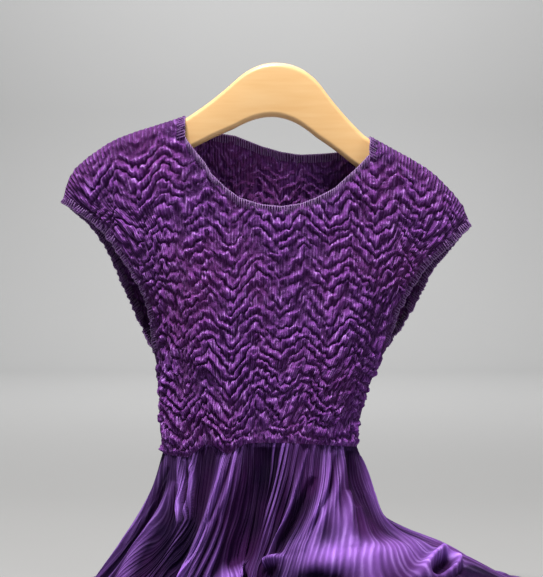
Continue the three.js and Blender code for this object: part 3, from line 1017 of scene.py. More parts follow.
@dataclass(frozen=True)
class Shoulders:
    """The lines over the hanger and down the caps along which front and back are sewn."""

    clearance: float = 1.3
    left_neck_along: float = 95
    right_neck_along: float = 99
    first_along: float = 108
    neck_margin: float = 5
    hanger_end: float = 174
    cap_along: tuple = (192, 204.4, 210.6)
    cap_drop: tuple = (118.8, 131.8, 144.2)
    left_corner: tuple = (-230.5, -146)
    right_corner: tuple = (198.5, -171)

    def hanger_top(self, along: float) -> float:
        """How far the hanger's upper edge is below its highest point."""
        return float(np.interp(along, named(HANGER, "along"), named(HANGER, "top")))

    def line(self, sign: int) -> np.ndarray:
        """Points of one shoulder line in the front view, from left to right.

        Args:
            sign: -1 for the left shoulder, 1 for the right.

        Returns:
            X and Z, shaped (points, 2).
        """
        neck = self.left_neck_along if sign < 0 else self.right_neck_along
        worn = [row.along for row in HANGER if neck + self.neck_margin < row.along <= self.hanger_end]
        corner = self.left_corner if sign < 0 else self.right_corner
        points = [tilted(sign * along, self.hanger_top(along) - self.clearance)
                  for along in (0, neck, self.first_along, *worn)]
        points += [tilted(sign * along, drop) for along, drop in zip(self.cap_along, self.cap_drop)]
        points.append(corner)
        return np.array(sorted(points))

    def neck(self, sign: int) -> tuple[float, float]:
        """The point where a shoulder line meets the neckline."""
        along = self.left_neck_along if sign < 0 else self.right_neck_along
        return tilted(sign * along, self.hanger_top(along))

    def distance(self, x: np.ndarray, z: np.ndarray) -> np.ndarray:
        """Distance from each place to the nearer worn shoulder line.

        Args:
            x: Places across the front view.
            z: Their heights.

        Returns:
            The distances.
        """
        left = self.line(-1)
        right = self.line(1)
        runs = (left[left[:, 0] <= self.neck(-1)[0] + 0.5], right[right[:, 0] >= self.neck(1)[0] - 0.5])
        return polyline_distance(x, z, runs)


@dataclass(frozen=True)
class PleatLines:
    """A bodice panel's grid: shares across it, front view, levels and distances from the waist."""

    share: np.ndarray
    x: np.ndarray
    z: np.ndarray
    level: np.ndarray
    along: np.ndarray


@dataclass(frozen=True)
class BodicePanel:
    """Half of the bodice: fine pleats crinkled into chevron ridges over a thin wall."""

    side: Side
    levels: tuple
    neckline: tuple
    rises: tuple
    depth_share: float
    neck_turn: float
    waist: Waist
    shoulders: Shoulders
    columns: int = 353
    rows: int = 262
    turn_rows: int = 18
    level_steps: int = 300
    cut_level: float = 1.2
    wave_level: float = 0.5
    armhole_level: float = 1.02
    neck_step: int = 8
    armhole_step: int = 12
    cad_columns: int = 22
    left_neck_column: int = 6
    right_neck_column: int = 16
    chevron_width: float = 49
    chevron_peak_x: float = -26
    corner: float = 0.97
    arm_end: float = 0.86
    row_height: float = 6
    zigzag_height: float = 9.6
    zigzag_fade: float = 30
    crush: float = 0.9
    crush_reach: float = 55
    lean: float = 0.14
    sharpness: float = 1.25
    middle_height: float = 0.7
    height_limits: tuple = (0.05, 1.35)
    gather: float = 0.3
    gather_reach: float = 50
    shoulder_radius: float = 10
    shoulder_seam: float = 9
    calm_from_shoulder: tuple = (6, 26)
    calm_from_edge: tuple = (2, 12)
    calm_share: float = 0.72
    waist_seam: float = 5
    side_share: float = 0.22
    side_width: float = 0.06
    wall: float = 1.2
    least_wall: float = 0.3
    ridge_height: float = 5.2
    bump_pitch: float = 5.2
    bump_height: float = 0.5
    bump_sway: float = 2
    bump_sway_length: float = 17
    frill_height: float = 2.2
    frill_share: float = 0.006
    fine_pleats: int = 140
    trough_shade: float = 0.1
    ridge_shade: float = 0.9
    calm_shade: float = 0.4
    waist_shade: float = 0.16
    drift_start: float = 6
    broad_drift: Unevenness = Unevenness(3, 0.5, 22, 0.5)
    arm_drift: Unevenness = Unevenness(43, 1, 34, 0.7)
    crushed_drift: Unevenness = Unevenness(5, 1.5, 9, 0.42)
    small_drifts: tuple = (Unevenness(7, 3.6, 6, 0.5), Unevenness(61, 7.3, 4.5, 0.36))
    own_drifts: tuple = (Unevenness(16, 0.8, 15, 0.3), Unevenness(18, 0.8, 15, 0.3))
    heights: tuple = (
        Unevenness(11, 1.2, 2, 0.4),
        Unevenness(13, 2.1, 1 / 0.6, 0.6),
        Unevenness(19, 5.5, 1 / 1.1, 0.45),
    )
    puckers: Unevenness = Unevenness(23, 7, 45, 1.6)
    crumples: tuple = (Unevenness(29, 90, 3.4, 1), Unevenness(41, 150, 8, 0.6))
    teeth: Unevenness = Unevenness(67, 1 / 2.4, 0.5, 0.5)

    @property
    def name(self) -> str:
        """The panel's node in the solid model."""
        return f"bodice_{self.side.name.lower()}"

    @property
    def share(self) -> np.ndarray:
        """Shares across the panel, as a column of the grid."""
        return np.linspace(0, 1, self.columns)[:, None]

    def front_view(self, level: np.ndarray) -> tuple[np.ndarray, np.ndarray]:
        """Where the panel's columns lie at each level, in the front view.

        Args:
            level: Levels up the panel.

        Returns:
            X and Z, shaped (columns, levels).
        """
        left_x, left_z, right_x, right_z, rise = (
            table_at(self.levels, "level", name, level)[None, :]
            for name in ("left_x", "left_z", "right_x", "right_z", "rise"))
        left_share = self.left_neck_column / self.cad_columns
        right_share = self.right_neck_column / self.cad_columns
        left_neck = self.shoulders.neck(-1)[0]
        right_neck = self.shoulders.neck(1)[0]
        on_left = left_x + (left_neck - left_x) * self.share / left_share
        on_right = right_neck + (right_x - right_neck) * (self.share - right_share) / (1 - right_share)
        neck_width = right_neck - left_neck
        between = left_neck + neck_width * (self.share - left_share) / (right_share - left_share)
        spread = np.where(self.share > right_share, on_right, between)
        spread = np.where(self.share < left_share, on_left, spread)
        width = right_x - left_x
        low = left_x + width * (1 - np.cos(self.waist.angle(self.share))) / 2
        x = low + (spread - low) * smooth(level, 0, SHOULDER_LEVEL)
        side_z = left_z + (right_z - left_z) * (x - left_x) / width
        wave = table_at(self.rises, "share", "rise", self.share) * (1 - smooth(level, 0, self.wave_level))
        return x, side_z + wave + rise * np.sin(math.pi * self.share)

    def neck_places(self) -> tuple[int, int]:
        """The grid's columns at the two ends of the neckline."""
        steps = (self.columns - 1) // self.cad_columns
        return self.left_neck_column * steps, self.right_neck_column * steps

    def cut(self, index: int, level: np.ndarray, x: np.ndarray, z: np.ndarray, along: np.ndarray) -> float:
        """Length of one column up to the shoulder line or, inside the neck, up to the neckline.

        Args:
            index: The column.
            level: Levels up it.
            x: Their places across the front view.
            z: Their heights.
            along: Their distances along the column.

        Returns:
            The length.
        """
        left, right = self.neck_places()
        if index in (0, self.columns - 1):
            return float(np.interp(SHOULDER_LEVEL, level, along))
        if index <= left:
            line = self.shoulders.line(-1)
        elif index >= right:
            line = self.shoulders.line(1)
        else:
            line = np.stack([named(self.neckline, "x"), named(self.neckline, "z")], axis=1)
        above = z - np.interp(x, line[:, 0], line[:, 1])
        start = int(np.flatnonzero((level > self.cut_level) & (above > 0))[0])
        part = above[start] / (above[start] - above[start - 1])
        return float(along[start] - part * (along[start] - along[start - 1]))

    def pleat_lines(self) -> PleatLines:
        """The panel's columns from the waist up; inside the neck they go on a little past the neckline.

        Returns:
            The lines, with arrays shaped (columns, rows).
        """
        level = np.linspace(0, TOP_LEVEL, self.level_steps + 1)
        x, z = self.front_view(level)
        steps = np.hypot(np.diff(x, axis=1), np.diff(z, axis=1))
        along = np.concatenate([np.zeros((self.columns, 1)), np.cumsum(steps, axis=1)], axis=1)
        left, right = self.neck_places()
        found = []
        for index in range(self.columns):
            cut = self.cut(index, level, x[index], z[index], along[index])
            turn = cut if left < index < right else cut - self.neck_turn
            beyond = np.linspace(turn, turn + self.neck_turn, self.turn_rows + 1)[1:]
            places = np.concatenate([np.linspace(0, turn, self.rows), beyond])
            read = [np.interp(places, along[index], values) for values in (x[index], z[index], level)]
            found.append([*read, places])
        x, z, level, along = np.stack(found, axis=1)
        return PleatLines(np.broadcast_to(self.share, x.shape), x, z, level, along)

    def present(self) -> np.ndarray:
        """Which squares of the grid are cloth: all but those above the neckline.

        Returns:
            True for each square that is cloth.
        """
        shown = np.ones((self.columns - 1, self.rows + self.turn_rows - 1), bool)
        left, right = self.neck_places()
        shown[left:right, self.rows - 1:] = False
        return shown

    def edge_distance(self, lines: PleatLines) -> np.ndarray:
        """Distance in the front view from each place to the nearest open edge of the panel.

        Args:
            lines: The panel's lines.

        Returns:
            The distances.
        """
        left, right = self.neck_places()
        top = self.rows - 1
        neck = [(left, -1), (left, top)]
        neck += [(column, top) for column in range(left + self.neck_step, right, self.neck_step)]
        neck += [(right, top), (right, -1)]
        edges = [tuple(np.array(neck).T)]
        for column in (0, -1):
            edges.append((column, np.flatnonzero(lines.level[column] >= UNDERARM_LEVEL)[::self.armhole_step]))
        runs = [np.stack([lines.x[edge], lines.z[edge]], axis=1) for edge in edges]
        return polyline_distance(lines.x, lines.z, runs)

    def smooth_form(self, lines: PleatLines) -> np.ndarray:
        """The inner face of the cloth, before its ridges.

        Args:
            lines: The panel's lines.

        Returns:
            Points shaped (columns, rows, 3).
        """
        edge = table_at(self.levels, "level", "edge", lines.level)
        middle = table_at(self.levels, "level", "middle", lines.level)
        belly = np.sin(self.waist.angle(self.share))
        shallow = 1 + (self.depth_share - 1) * smooth(lines.level, 0, UNDERARM_LEVEL)
        away = self.shoulders.distance(lines.x, lines.z)
        near = 1 - np.minimum(away / self.shoulder_radius, 1)
        depth = (edge + (middle * shallow - edge) * belly) * np.sqrt(1 - near * near)
        return np.stack([lines.x, self.side.value * np.maximum(depth, 0), lines.z], axis=2)

    def ridges(self, lines: PleatLines) -> tuple[np.ndarray, np.ndarray]:
        """The chevron ridges.

        Args:
            lines: The panel's lines.

        Returns:
            Their height from 0 to about 1, and the row of the chevrons that each place is on.
        """
        along = lines.along
        column = lines.share * self.cad_columns
        across = (lines.x - self.chevron_peak_x) / self.chevron_width
        zigzag = np.arcsin(self.corner * np.cos(math.tau * across)) / math.asin(self.corner)
        arm = 2 * across
        step = np.floor(arm) + smooth(arm - np.floor(arm), self.arm_end, 1)
        crush = 1 + self.crush * np.exp(-along / self.crush_reach)
        drift = self.broad_drift.at(column + self.drift_start, along) + self.arm_drift.at(step, along)
        drift += self.crushed_drift.at(column, along) * crush + summed(self.small_drifts, column, along)
        own = self.own_drifts[self.side is Side.BACK].at(column, along) * np.sin(math.pi * lines.share)
        fade = smooth(along, 0, self.zigzag_fade)
        row = (along - self.zigzag_height * zigzag * fade) / self.row_height + drift + own
        wave = 0.5 - 0.5 * np.cos(math.pi * (row + self.lean * np.sin(math.pi * row)))
        tall = np.clip(self.middle_height + summed(self.heights, column, row), *self.height_limits)
        gathered = 1 + self.gather * np.exp(-along / self.gather_reach)
        return wave ** self.sharpness * tall * gathered, row

    def frill(self, lines: PleatLines) -> np.ndarray:
        """How far the armholes' edges stand out sideways, in small uneven teeth.

        Args:
            lines: The panel's lines.

        Returns:
            The shift in X at each place.
        """
        part = lines.share
        near = np.exp(-((np.minimum(part, 1 - part) / self.frill_share) ** 2))
        teeth = 0.5 + self.teeth.at(lines.along, part)
        shown = smooth(lines.level, self.armhole_level, self.cut_level)
        return np.sign(part - 0.5) * self.frill_height * near * teeth * shown

    def cloth(self) -> ClothGrid:
        """Works out the whole panel as a grid of points.

        Returns:
            The grid, with what the finish reads.
        """
        lines = self.pleat_lines()
        base = self.smooth_form(lines)
        outward = surface_normals(base) * -self.side.value
        height, row = self.ridges(lines)
        along = lines.along
        part = lines.share
        from_shoulder = self.shoulders.distance(lines.x, lines.z)
        from_edge = self.edge_distance(lines)
        sway = self.bump_sway * np.sin(lines.x / self.bump_sway_length)
        seam_bumps = 0.5 + 0.5 * np.sin(math.tau * lines.x / self.bump_pitch + sway)
        shoulder = smooth(from_shoulder, 0, self.shoulder_seam)
        height = self.bump_height * seam_bumps * (1 - shoulder) + height * shoulder
        calm = 1 - smooth(from_shoulder, *self.calm_from_shoulder) * smooth(from_edge, *self.calm_from_edge)
        seam = smooth(along, 0, self.waist_seam)
        beside = smooth(np.minimum(part, 1 - part), 0, self.side_width)
        kept = (1 - self.calm_share * calm) * seam * (self.side_share + (1 - self.side_share) * beside)
        rough = self.puckers.at(part, along) * np.sin(math.pi * part) + summed(self.crumples, part, along)
        reach = self.wall + self.ridge_height * height * kept + rough * shoulder * seam
        points = base + outward * np.maximum(reach, self.least_wall)[:, :, None]
        limit = SEAM_GAP / 2
        points[:, :, 1] = self.side.value * np.maximum(self.side.value * points[:, :, 1], limit)
        points[:, 0, 2] = base[:, 0, 2] + limit
        points[:, :, 0] += self.frill(lines)
        # Painted light and shade, kept as lift: ridges painted lit and troughs painted shaded, less so near
        # the shoulders and open edges, and painted lighter near the waist.
        shade = self.trough_shade + self.ridge_shade * height * (1 - self.calm_shade * calm)
        shade = np.clip(shade + self.waist_shade * np.exp(-along / self.crush_reach), 0, 1)
        pleat = part * self.fine_pleats
        flipped = self.side is Side.BACK
        return ClothGrid(self.name + "_cloth", points, pleat, row, shade, calm, self.present(), flipped)


@dataclass(frozen=True)
class SkirtPanel:
    """Half of the skirt: fine pleats that fall from the waist and pool on the floor."""

    side: Side
    folds: tuple
    rises: tuple
    creases: tuple
    buckles: tuple
    waist: Waist
    columns: int = 397
    rows: int = 250
    row_power: float = 1.12
    pleats: int = 44
    length: float = 400
    profile_steps: int = 80
    fan_start: float = 90
    fan_end: float = 300
    sweep_share: float = 0.13
    sweep_reach: float = 0.1
    sweep_end: float = 80
    sweep_release: float = 70
    sweep_width: float = 0.11
    flute_height: float = 8
    flutes: int = 6
    flute_start: float = 170
    flute_end: float = 330
    wall: float = 1.2
    pleat_scale: float = 3
    skew: float = 0.2
    skew_turn: float = 2.4
    roundness: float = 2.6
    swing: float = 0.38
    swing_turn: float = 4.2
    second_swing: float = 1.3
    second_turn: float = 1.4
    swing_length: float = 75
    middle_height: float = 0.75
    side_pleats: float = 1.5
    waist_width: float = 235
    flare: float = 1.5
    crease_flare: float = 160
    crease_fade: float = 0.55
    side_share: float = 0.2
    side_width: float = 0.03
    loose: tuple = (20, 70)
    deepest: float = -8
    deep_end: tuple = (150, 190)
    joined_length: float = 60
    floor_clearance: float = 0.6
    trough_shade: float = 0.04
    ridge_shade: float = 0.9
    fold_shade: float = 0.05
    shade_power: float = 3
    even_share: float = 0.3
    even_start: float = 95
    even_end: float = 165
    even_trough: float = 0.15
    even_ridge: float = 0.35
    calm: float = 0.4
    sways: tuple = (Unevenness(31, 11, 80, 0.7), Unevenness(37, 31, 34, 0.3))
    heights: Unevenness = Unevenness(53, 13, 60, 0.35)
    swell: Unevenness = Unevenness(59, 15, 110, 3.2)
    patches: Unevenness = Unevenness(71, 46, 55, 0.5)

    @property
    def name(self) -> str:
        """The panel's node in the solid model."""
        return f"skirt_{self.side.name.lower()}"

    @property
    def share(self) -> np.ndarray:
        """Shares across the panel, as a column of the grid."""
        return np.linspace(0, 1, self.columns)[:, None]

    @property
    def down(self) -> np.ndarray:
        """Distances down the cloth, as a row of the grid."""
        return self.length * np.linspace(0, 1, self.rows)[None, :] ** self.row_power

    def profile(self, share: np.ndarray, fall: float) -> np.ndarray:
        """How far out and down the cloth is along one column.

        Args:
            share: The column's share across the panel.
            fall: Height of the waist above the floor there.

        Returns:
            Out and down (negative), shaped (rows, 2).
        """
        hip_out, hip_drop, mid_out, mid_drop, foot = (
            float(table_at(self.folds, "share", name, share)[0])
            for name in ("hip_out", "hip_drop", "mid_out", "mid_drop", "foot"))
        corners = np.array([(0, 0), (hip_out, -hip_drop), (mid_out, -mid_drop), (foot, -fall),
                            (foot + self.length, -fall)])
        ends = np.array([2 * corners[0] - corners[1], 2 * corners[-1] - corners[-2]])
        corners = np.concatenate([ends[:1], corners, ends[1:]])
        pieces = []
        t = np.linspace(0, 1, self.profile_steps)[:-1, None]
        for index in range(1, len(corners) - 2):
            before, start, end, after = corners[index - 1:index + 3]
            spans = ((before, start), (start, end), (end, after))
            gaps = [max(np.linalg.norm(far - near), TINY) ** 0.5 for near, far in spans]
            chord = (end - start) / gaps[1]
            leave = (start - before) / gaps[0] - (end - before) / (gaps[0] + gaps[1]) + chord
            arrive = chord - (after - start) / (gaps[1] + gaps[2]) + (after - end) / gaps[2]
            leave = leave * gaps[1]
            arrive = arrive * gaps[1]
            curve = start + leave * t + (-3 * start + 3 * end - 2 * leave - arrive) * t ** 2
            pieces.append(curve + (2 * start - 2 * end + leave + arrive) * t ** 3)
        curve = np.concatenate([*pieces, corners[-2:-1]])
        length = np.concatenate([[0], np.cumsum(np.linalg.norm(np.diff(curve, axis=0), axis=1))])
        return np.stack([np.interp(self.down[0], length, curve[:, axis]) for axis in (0, 1)], axis=1)

    def smooth_form(self) -> np.ndarray:
        """The inner face of the cloth, before its pleats.

        Returns:
            Points shaped (columns, rows, 3).
        """
        points = np.empty((self.columns, self.rows, 3))
        angle = self.waist.angle(self.share)
        top = self.waist.z(self.rises, self.share) - SEAM_GAP / 2
        fall, fan = (np.radians(table_at(self.folds, "share", name, self.share)) for name in ("fall", "fan"))
        heading = fall + (fan - fall) * smooth(self.down, self.fan_start, self.fan_end)
        flute = np.sin(math.pi * self.flutes * self.share) ** 2
        lift = self.flute_height * flute * smooth(self.down, self.flute_start, self.flute_end)
        for index, share in enumerate(self.share):
            run = self.profile(share, top[index, 0] - FLOOR_Z)
            out = np.diff(run[:, 0], prepend=0)
            points[index, :, 0] = np.cumsum(out * np.cos(heading[index]))
            points[index, :, 1] = np.cumsum(out * np.sin(heading[index]))
            points[index, :, 2] = np.maximum(top[index] + run[:, 1], FLOOR_Z + lift[index])
        points[:, :, 0] += self.waist.centre_x - self.waist.half_width * np.cos(angle)
        points[:, :, 1] += self.side.value * self.waist.half_depth * np.sin(angle)
        return points

    def pleat_shape(self) -> tuple[np.ndarray, np.ndarray]:
        """The pleats' height, from 0 in the troughs to 1 on the ridges.

        Returns:
            The height, and each place's number of pleats from the left seam.
        """
        part = self.share
        down = self.down
        ends = smooth(np.minimum(part, 1 - part) * self.pleats, 0, self.side_pleats)
        swept = part - self.sweep()
        count = swept * self.pleats + summed(self.sways, part, down) * ends
        number = np.floor(count)
        phase = count - number
        skew = 0.5 + self.skew * np.sin(number * self.skew_turn)
        rise = np.where(phase < skew, phase / skew, (1 - phase) / (1 - skew))
        rounded = 1 - (1 - np.clip(rise, 0, 1)) ** self.roundness
        turn = number * self.swing_turn + self.second_swing * np.sin(number * self.second_turn)
        uneven = 1 - self.swing + self.swing * np.sin(turn + down / self.swing_length)
        uneven *= self.middle_height + self.heights.at(part, down)
        return rounded * uneven, count

    def sweep(self) -> np.ndarray:
        """How far the pleats are drawn to the right, as a share, where a group of them hangs straighter.

        Returns:
            The shift, shaped (columns, rows).
        """
        t = np.clip(self.down / self.sweep_end, 0, 1)
        released = smooth(self.down, self.sweep_end, self.sweep_end + self.sweep_release)
        away = self.share - self.sweep_share - self.sweep_reach * t
        return self.sweep_reach * t * (1 - released) * np.exp(-((away / self.sweep_width) ** 2))

    def width_at(self, along: np.ndarray | float) -> np.ndarray | float:
        """The panel's rough width at a distance down the cloth."""
        return self.waist_width + along * self.flare

    def crease_height(self) -> np.ndarray:
        """The larger folds, placed by hand, in millimetres.

        Returns:
            Height above the smooth form, shaped (columns, rows).
        """
        total = np.zeros((self.columns, self.rows))
        for crease in self.creases:
            t = np.clip((self.down - crease.start) / (crease.end - crease.start), 0, 1)
            bow = 4 * t * (1 - t)
            straight = crease.top_share + (crease.end_share - crease.top_share) * t
            middle = straight + bow * (crease.mid_share - (crease.top_share + crease.end_share) / 2)
            away = (self.share - middle) * self.width_at(self.down)
            width = crease.width * (1 + self.down / self.crease_flare)
            fade = np.sin(math.pi * t) ** self.crease_fade
            total += crease.height * fade * np.exp(-((away / width) ** 2))
        return total

    def buckle_height(self) -> np.ndarray:
        """The bumps and hollows across the pleats, in millimetres.

        Returns:
            Height above the smooth form, shaped (columns, rows).
        """
        total = np.zeros((self.columns, self.rows))
        for buckle in self.buckles:
            across = (self.share - buckle.share) * self.width_at(buckle.along)
            down = self.down - buckle.along + buckle.slant * across
            away = np.hypot(across / buckle.half_width, down / buckle.half_length) - buckle.ring
            total += buckle.height * np.exp(-(away ** 2))
        return total

    def cloth(self) -> ClothGrid:
        """Works out the whole panel as a grid of points.

        Returns:
            The grid, with what the finish reads.
        """
        part = self.share
        down = self.down
        base = self.smooth_form()
        outward = surface_normals(base) * self.side.value
        height, count = self.pleat_shape()
        amplitude = self.pleat_scale * table_at(PLEAT_HEIGHTS, "along", "pleat", down)
        ends = smooth(np.minimum(part, 1 - part), 0, self.side_width)
        loose = smooth(down, *self.loose)
        swell = self.swell.at(part, down) * loose
        folds = (self.crease_height() + self.buckle_height() + swell) * ends
        # Hollows sink the cloth at most this deep, and not at all past deep_end; the rest of their depth only
        # darkens it as painted shade.
        lowest = self.deepest * (1 - smooth(down, *self.deep_end))
        pleats = amplitude * height * (self.side_share + (1 - self.side_share) * ends)
        reach = self.wall + pleats + np.maximum(folds, lowest)
        points = base + outward * reach[:, :, None]
        points[:, :, 2] = np.maximum(points[:, :, 2], FLOOR_Z + self.floor_clearance)
        limit = SEAM_GAP / 2
        clear = self.side.value * np.maximum(self.side.value * points[:, :, 1], limit)
        points[:, :, 1] = np.where(down < self.joined_length, clear, points[:, :, 1])
        for seam in (0, -1):
            points[seam, :, 1] = self.side.value * limit
        # Painted light and shade, kept as lift: pleat crests painted lit and troughs painted shaded, flatter
        # in the fan, uneven in patches, with raised folds painted lighter and hollows painted darker.
        even = self.even_share * smooth(down, self.even_start, self.even_end)
        crest = (1 - even) * height ** self.shade_power + even * (self.even_trough + self.even_ridge * height)
        crest = crest * (1 + self.patches.at(part, down) * loose) * (1 + self.fold_shade * folds)
        shade = np.clip(self.trough_shade + self.ridge_shade * crest + self.fold_shade * folds, 0, 1)
        rows = np.broadcast_to(down, count.shape)
        calm = np.full(count.shape, self.calm)
        present = np.ones((self.columns - 1, self.rows - 1), bool)
        flipped = self.side is Side.FRONT
        return ClothGrid(self.name + "_cloth", points, count, rows, shade, calm, present, flipped)


@dataclass(frozen=True)
class Hanger:
    """The plain wooden hanger, with round edges."""

    thickness: float = 13
    edge_radius: float = 6.2
    least_flat: float = 0.2
    corner_steps: int = 8
    stations: int = 150

    def section(self, along: float) -> np.ndarray:
        """One cross-section of the hanger, as points round it.

        Args:
            along: Distance along the hanger from its middle.

        Returns:
            Points shaped (count, 3).
        """
        place = np.array([abs(along)])
        top, bottom, share = (float(table_at(HANGER, "along", name, place)[0]) for name in
                              ("top", "bottom", "thickness"))
        half = self.thickness * share / 2
        height = (bottom - top) / 2
        radius = min(self.edge_radius, half - self.least_flat, height - self.least_flat)
        ring = []
        for quarter, (side_y, side_z) in enumerate(((1, 1), (-1, 1), (-1, -1), (1, -1))):
            for step in range(self.corner_steps + 1):
                angle = math.pi / 2 * (quarter + step / self.corner_steps)
                y = side_y * (half - radius) + radius * math.cos(angle)
                up = side_z * (height - radius) + radius * math.sin(angle)
                x, z = tilted(along, (bottom + top) / 2 - up)
                ring.append((x, y, z))
        return np.array(ring)

    def build(self) -> bpy.types.Object:
        """Makes the hanger's mesh.

        Returns:
            The object.
        """
        reach = HANGER[-1].along
        places = reach * np.sin(np.linspace(-math.pi / 2, math.pi / 2, self.stations))
        rings = [self.section(float(place)) for place in places]
        faces = tube_faces(0, len(rings), len(rings[0]))
        return solid_object("hanger_wood", np.concatenate(rings), faces)


def unit(directions: np.ndarray) -> np.ndarray:
    """Directions made one unit long."""
    return directions / np.maximum(np.linalg.norm(directions, axis=-1, keepdims=True), TINY)


@dataclass(frozen=True)
class Overlock:
    """The sewn edge round an opening: a rolled lip with a stitch of thread every few millimetres.

    A stitch's path gives how far into the cloth and out of its face each of its points is.
    """

    pitch: float = 2.6
    path: tuple = ((8.5, 0.5), (1.2, 1.3), (-0.9, 0.1), (1.2, -1.1), (8.5, -0.5))
    thread: float = 0.5
    lip: float = 0.7
    lip_sides: int = 6

    def stitch(self, edge: np.ndarray, inward: np.ndarray, outward: np.ndarray) -> np.ndarray:
        """One stitch over the edge, as a tube of four sides.

        Args:
            edge: The edge's point.
            inward: Unit direction from the edge into the cloth.
            outward: Unit direction out of the cloth's face.

        Returns:
            Its corners.
        """
        side = unit(np.cross(inward, outward))
        ring = self.thread * np.array((side, outward, -side, -outward))
        return np.concatenate([edge + inward * into + outward * out + ring for into, out in self.path])

    def lip_points(self, edge: np.ndarray, inward: np.ndarray, outward: np.ndarray) -> np.ndarray:
        """Rings of corners along the edge.

        Args:
            edge: The edge's points.
            inward: Directions from them into the cloth.
            outward: Directions out of the cloth's face.

        Returns:
            The corners, ring after ring.
        """
        angles = math.tau * np.arange(self.lip_sides) / self.lip_sides
        rings = [edge + self.lip * (unit(inward) * math.cos(angle) + unit(outward) * math.sin(angle))
                 for angle in angles]
        return np.stack(rings, axis=1).reshape(-1, 3)

    def build(self, name: str, runs: Sequence[tuple[np.ndarray, np.ndarray, np.ndarray]]) -> bpy.types.Object:
        """Makes the edge along several runs.

        Args:
            name: The object's name.
            runs: For each run, its points, the inward and the outward directions.

        Returns:
            The object.
        """
        points = []
        faces = []
        total = 0
        for run in runs:
            length = np.concatenate([[0], np.cumsum(np.linalg.norm(np.diff(run[0], axis=0), axis=1))])
            count = max(int(length[-1] / self.pitch), 1)
            tubes = []
            places = np.linspace(0, length[-1], count + 1)[:-1] + self.pitch / 2
            read = [np.stack([np.interp(places, length, values[:, axis]) for axis in range(3)], axis=1)
                    for values in run]
            for edge, inward, outward in zip(*read):
                tubes.append((self.stitch(edge, unit(inward), unit(outward)), len(self.path)))
            tubes.append((self.lip_points(*run), len(run[0])))
            for corners, rings in tubes:
                points.append(corners)
                faces.extend(tube_faces(total, rings, len(corners) // rings))
                total += len(corners)
        return solid_object(name, np.concatenate(points), faces)


@dataclass(frozen=True)
class Dress:
    """The whole garment on its hanger."""

    waist: Waist = Waist()
    shoulders: Shoulders = Shoulders()
    inner_step: int = 3

    def bodice(self, side: Side) -> BodicePanel:
        """One bodice panel.

        Args:
            side: Front or back.

        Returns:
            The panel.
        """
        front = side is Side.FRONT
        return BodicePanel(
            side=side,
            levels=FRONT_LEVELS if front else BACK_LEVELS,
            neckline=FRONT_NECKLINE if front else BACK_NECKLINE,
            rises=FRONT_WAIST if front else BACK_WAIST,
            depth_share=1.0 if front else 0.82,
            neck_turn=22 if front else 13,
            waist=self.waist,
            shoulders=self.shoulders,
        )

    def skirt(self, side: Side) -> SkirtPanel:
        """One skirt panel.

        Args:
            side: Front or back.

        Returns:
            The panel.
        """
        front = side is Side.FRONT
        return SkirtPanel(
            side=side,
            folds=FRONT_FOLDS if front else BACK_FOLDS,
            rises=FRONT_WAIST if front else BACK_WAIST,
            creases=FRONT_CREASES if front else BACK_CREASES,
            buckles=FRONT_BUCKLES if front else BACK_BUCKLES,
            sweep_reach=0.1 if front else 0,
            waist=self.waist,
        )

    def build_hanger(self) -> bpy.types.Object:
        """Makes and dresses the hanger.

        Returns:
            The object.
        """
        hanger = Hanger().build()
        hanger.data.materials.append(WoodFinish("pale_wood").build())
        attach(hanger, "root")
        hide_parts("hanger")
        return hanger

    def build_bodice(self, side: Side, crepe: bpy.types.Material, thread: bpy.types.Material) -> list:
        """Makes and dresses a bodice panel and its sewn edges.

        Args:
            side: Front or back.
            crepe: The cloth's material.
            thread: The thread's material.

        Returns:
            The objects.
        """
        panel = self.bodice(side)
        grid = panel.cloth()
        cloth = grid.build()
        cloth.data.materials.append(crepe)
        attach(cloth, "root")
        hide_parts(panel.name)
        edges = self.edge_runs(panel, grid.points)
        stitched = Overlock().build(f"{panel.name}_overlock", edges)
        stitched.data.materials.append(thread)
        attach(stitched, "root")
        return [cloth, stitched]

    def edge_runs(self, panel: BodicePanel, points: np.ndarray) -> list:
        """The open edges of a bodice panel.

        Args:
            panel: The panel.
            points: Its grid of points.

        Returns:
            For each run, its points, the inward and the outward directions.
        """
        outward = surface_normals(points) * -panel.side.value
        lines = panel.pleat_lines()
        left, right = panel.neck_places()
        top = panel.rows - 1
        step = self.inner_step
        neck = slice(left, right + 1)
        places = [((neck, top), (neck, top - step))]
        sides = slice(top, -2)
        places += [((left, sides), (left - step, sides)), ((right, sides), (right + step, sides))]
        for column, inner in ((0, step), (-1, -1 - step)):
            rows = np.flatnonzero(lines.level[column] > panel.armhole_level)[:-1]
            places.append(((column, rows), (inner, rows)))
        return [(points[edge], points[inner] - points[edge], outward[inner]) for edge, inner in places]

    def build_skirt(self, side: Side, crepe: bpy.types.Material) -> bpy.types.Object:
        """Makes and dresses a skirt panel.

        Args:
            side: Front or back.
            crepe: The cloth's material.

        Returns:
            The object.
        """
        panel = self.skirt(side)
        cloth = panel.cloth().build()
        cloth.data.materials.append(crepe)
        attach(cloth, "root")
        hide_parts(panel.name)
        above = f"bodice_{side.name.lower()}"
        return cloth


@dataclass(frozen=True)
class SoftLight:
    """A square soft light, with its places and size in metres and its power in watts."""

    name: str
    place: tuple
    size: float
    power: float
    colour: tuple = (1, 1, 1)
    target: tuple = (-0.02, 0, -0.3)

    def build(self) -> bpy.types.Object:
        """Makes the light, facing its target.

        Returns:
            The light.
        """
        data = bpy.data.lights.new(self.name, "AREA")
        data.shape = "SQUARE"
        data.size = self.size
        data.energy = self.power
        data.color = self.colour
        light = place_object(self.name, data)
        light.location = self.place
        aim(light, Vector(self.target))
        return light


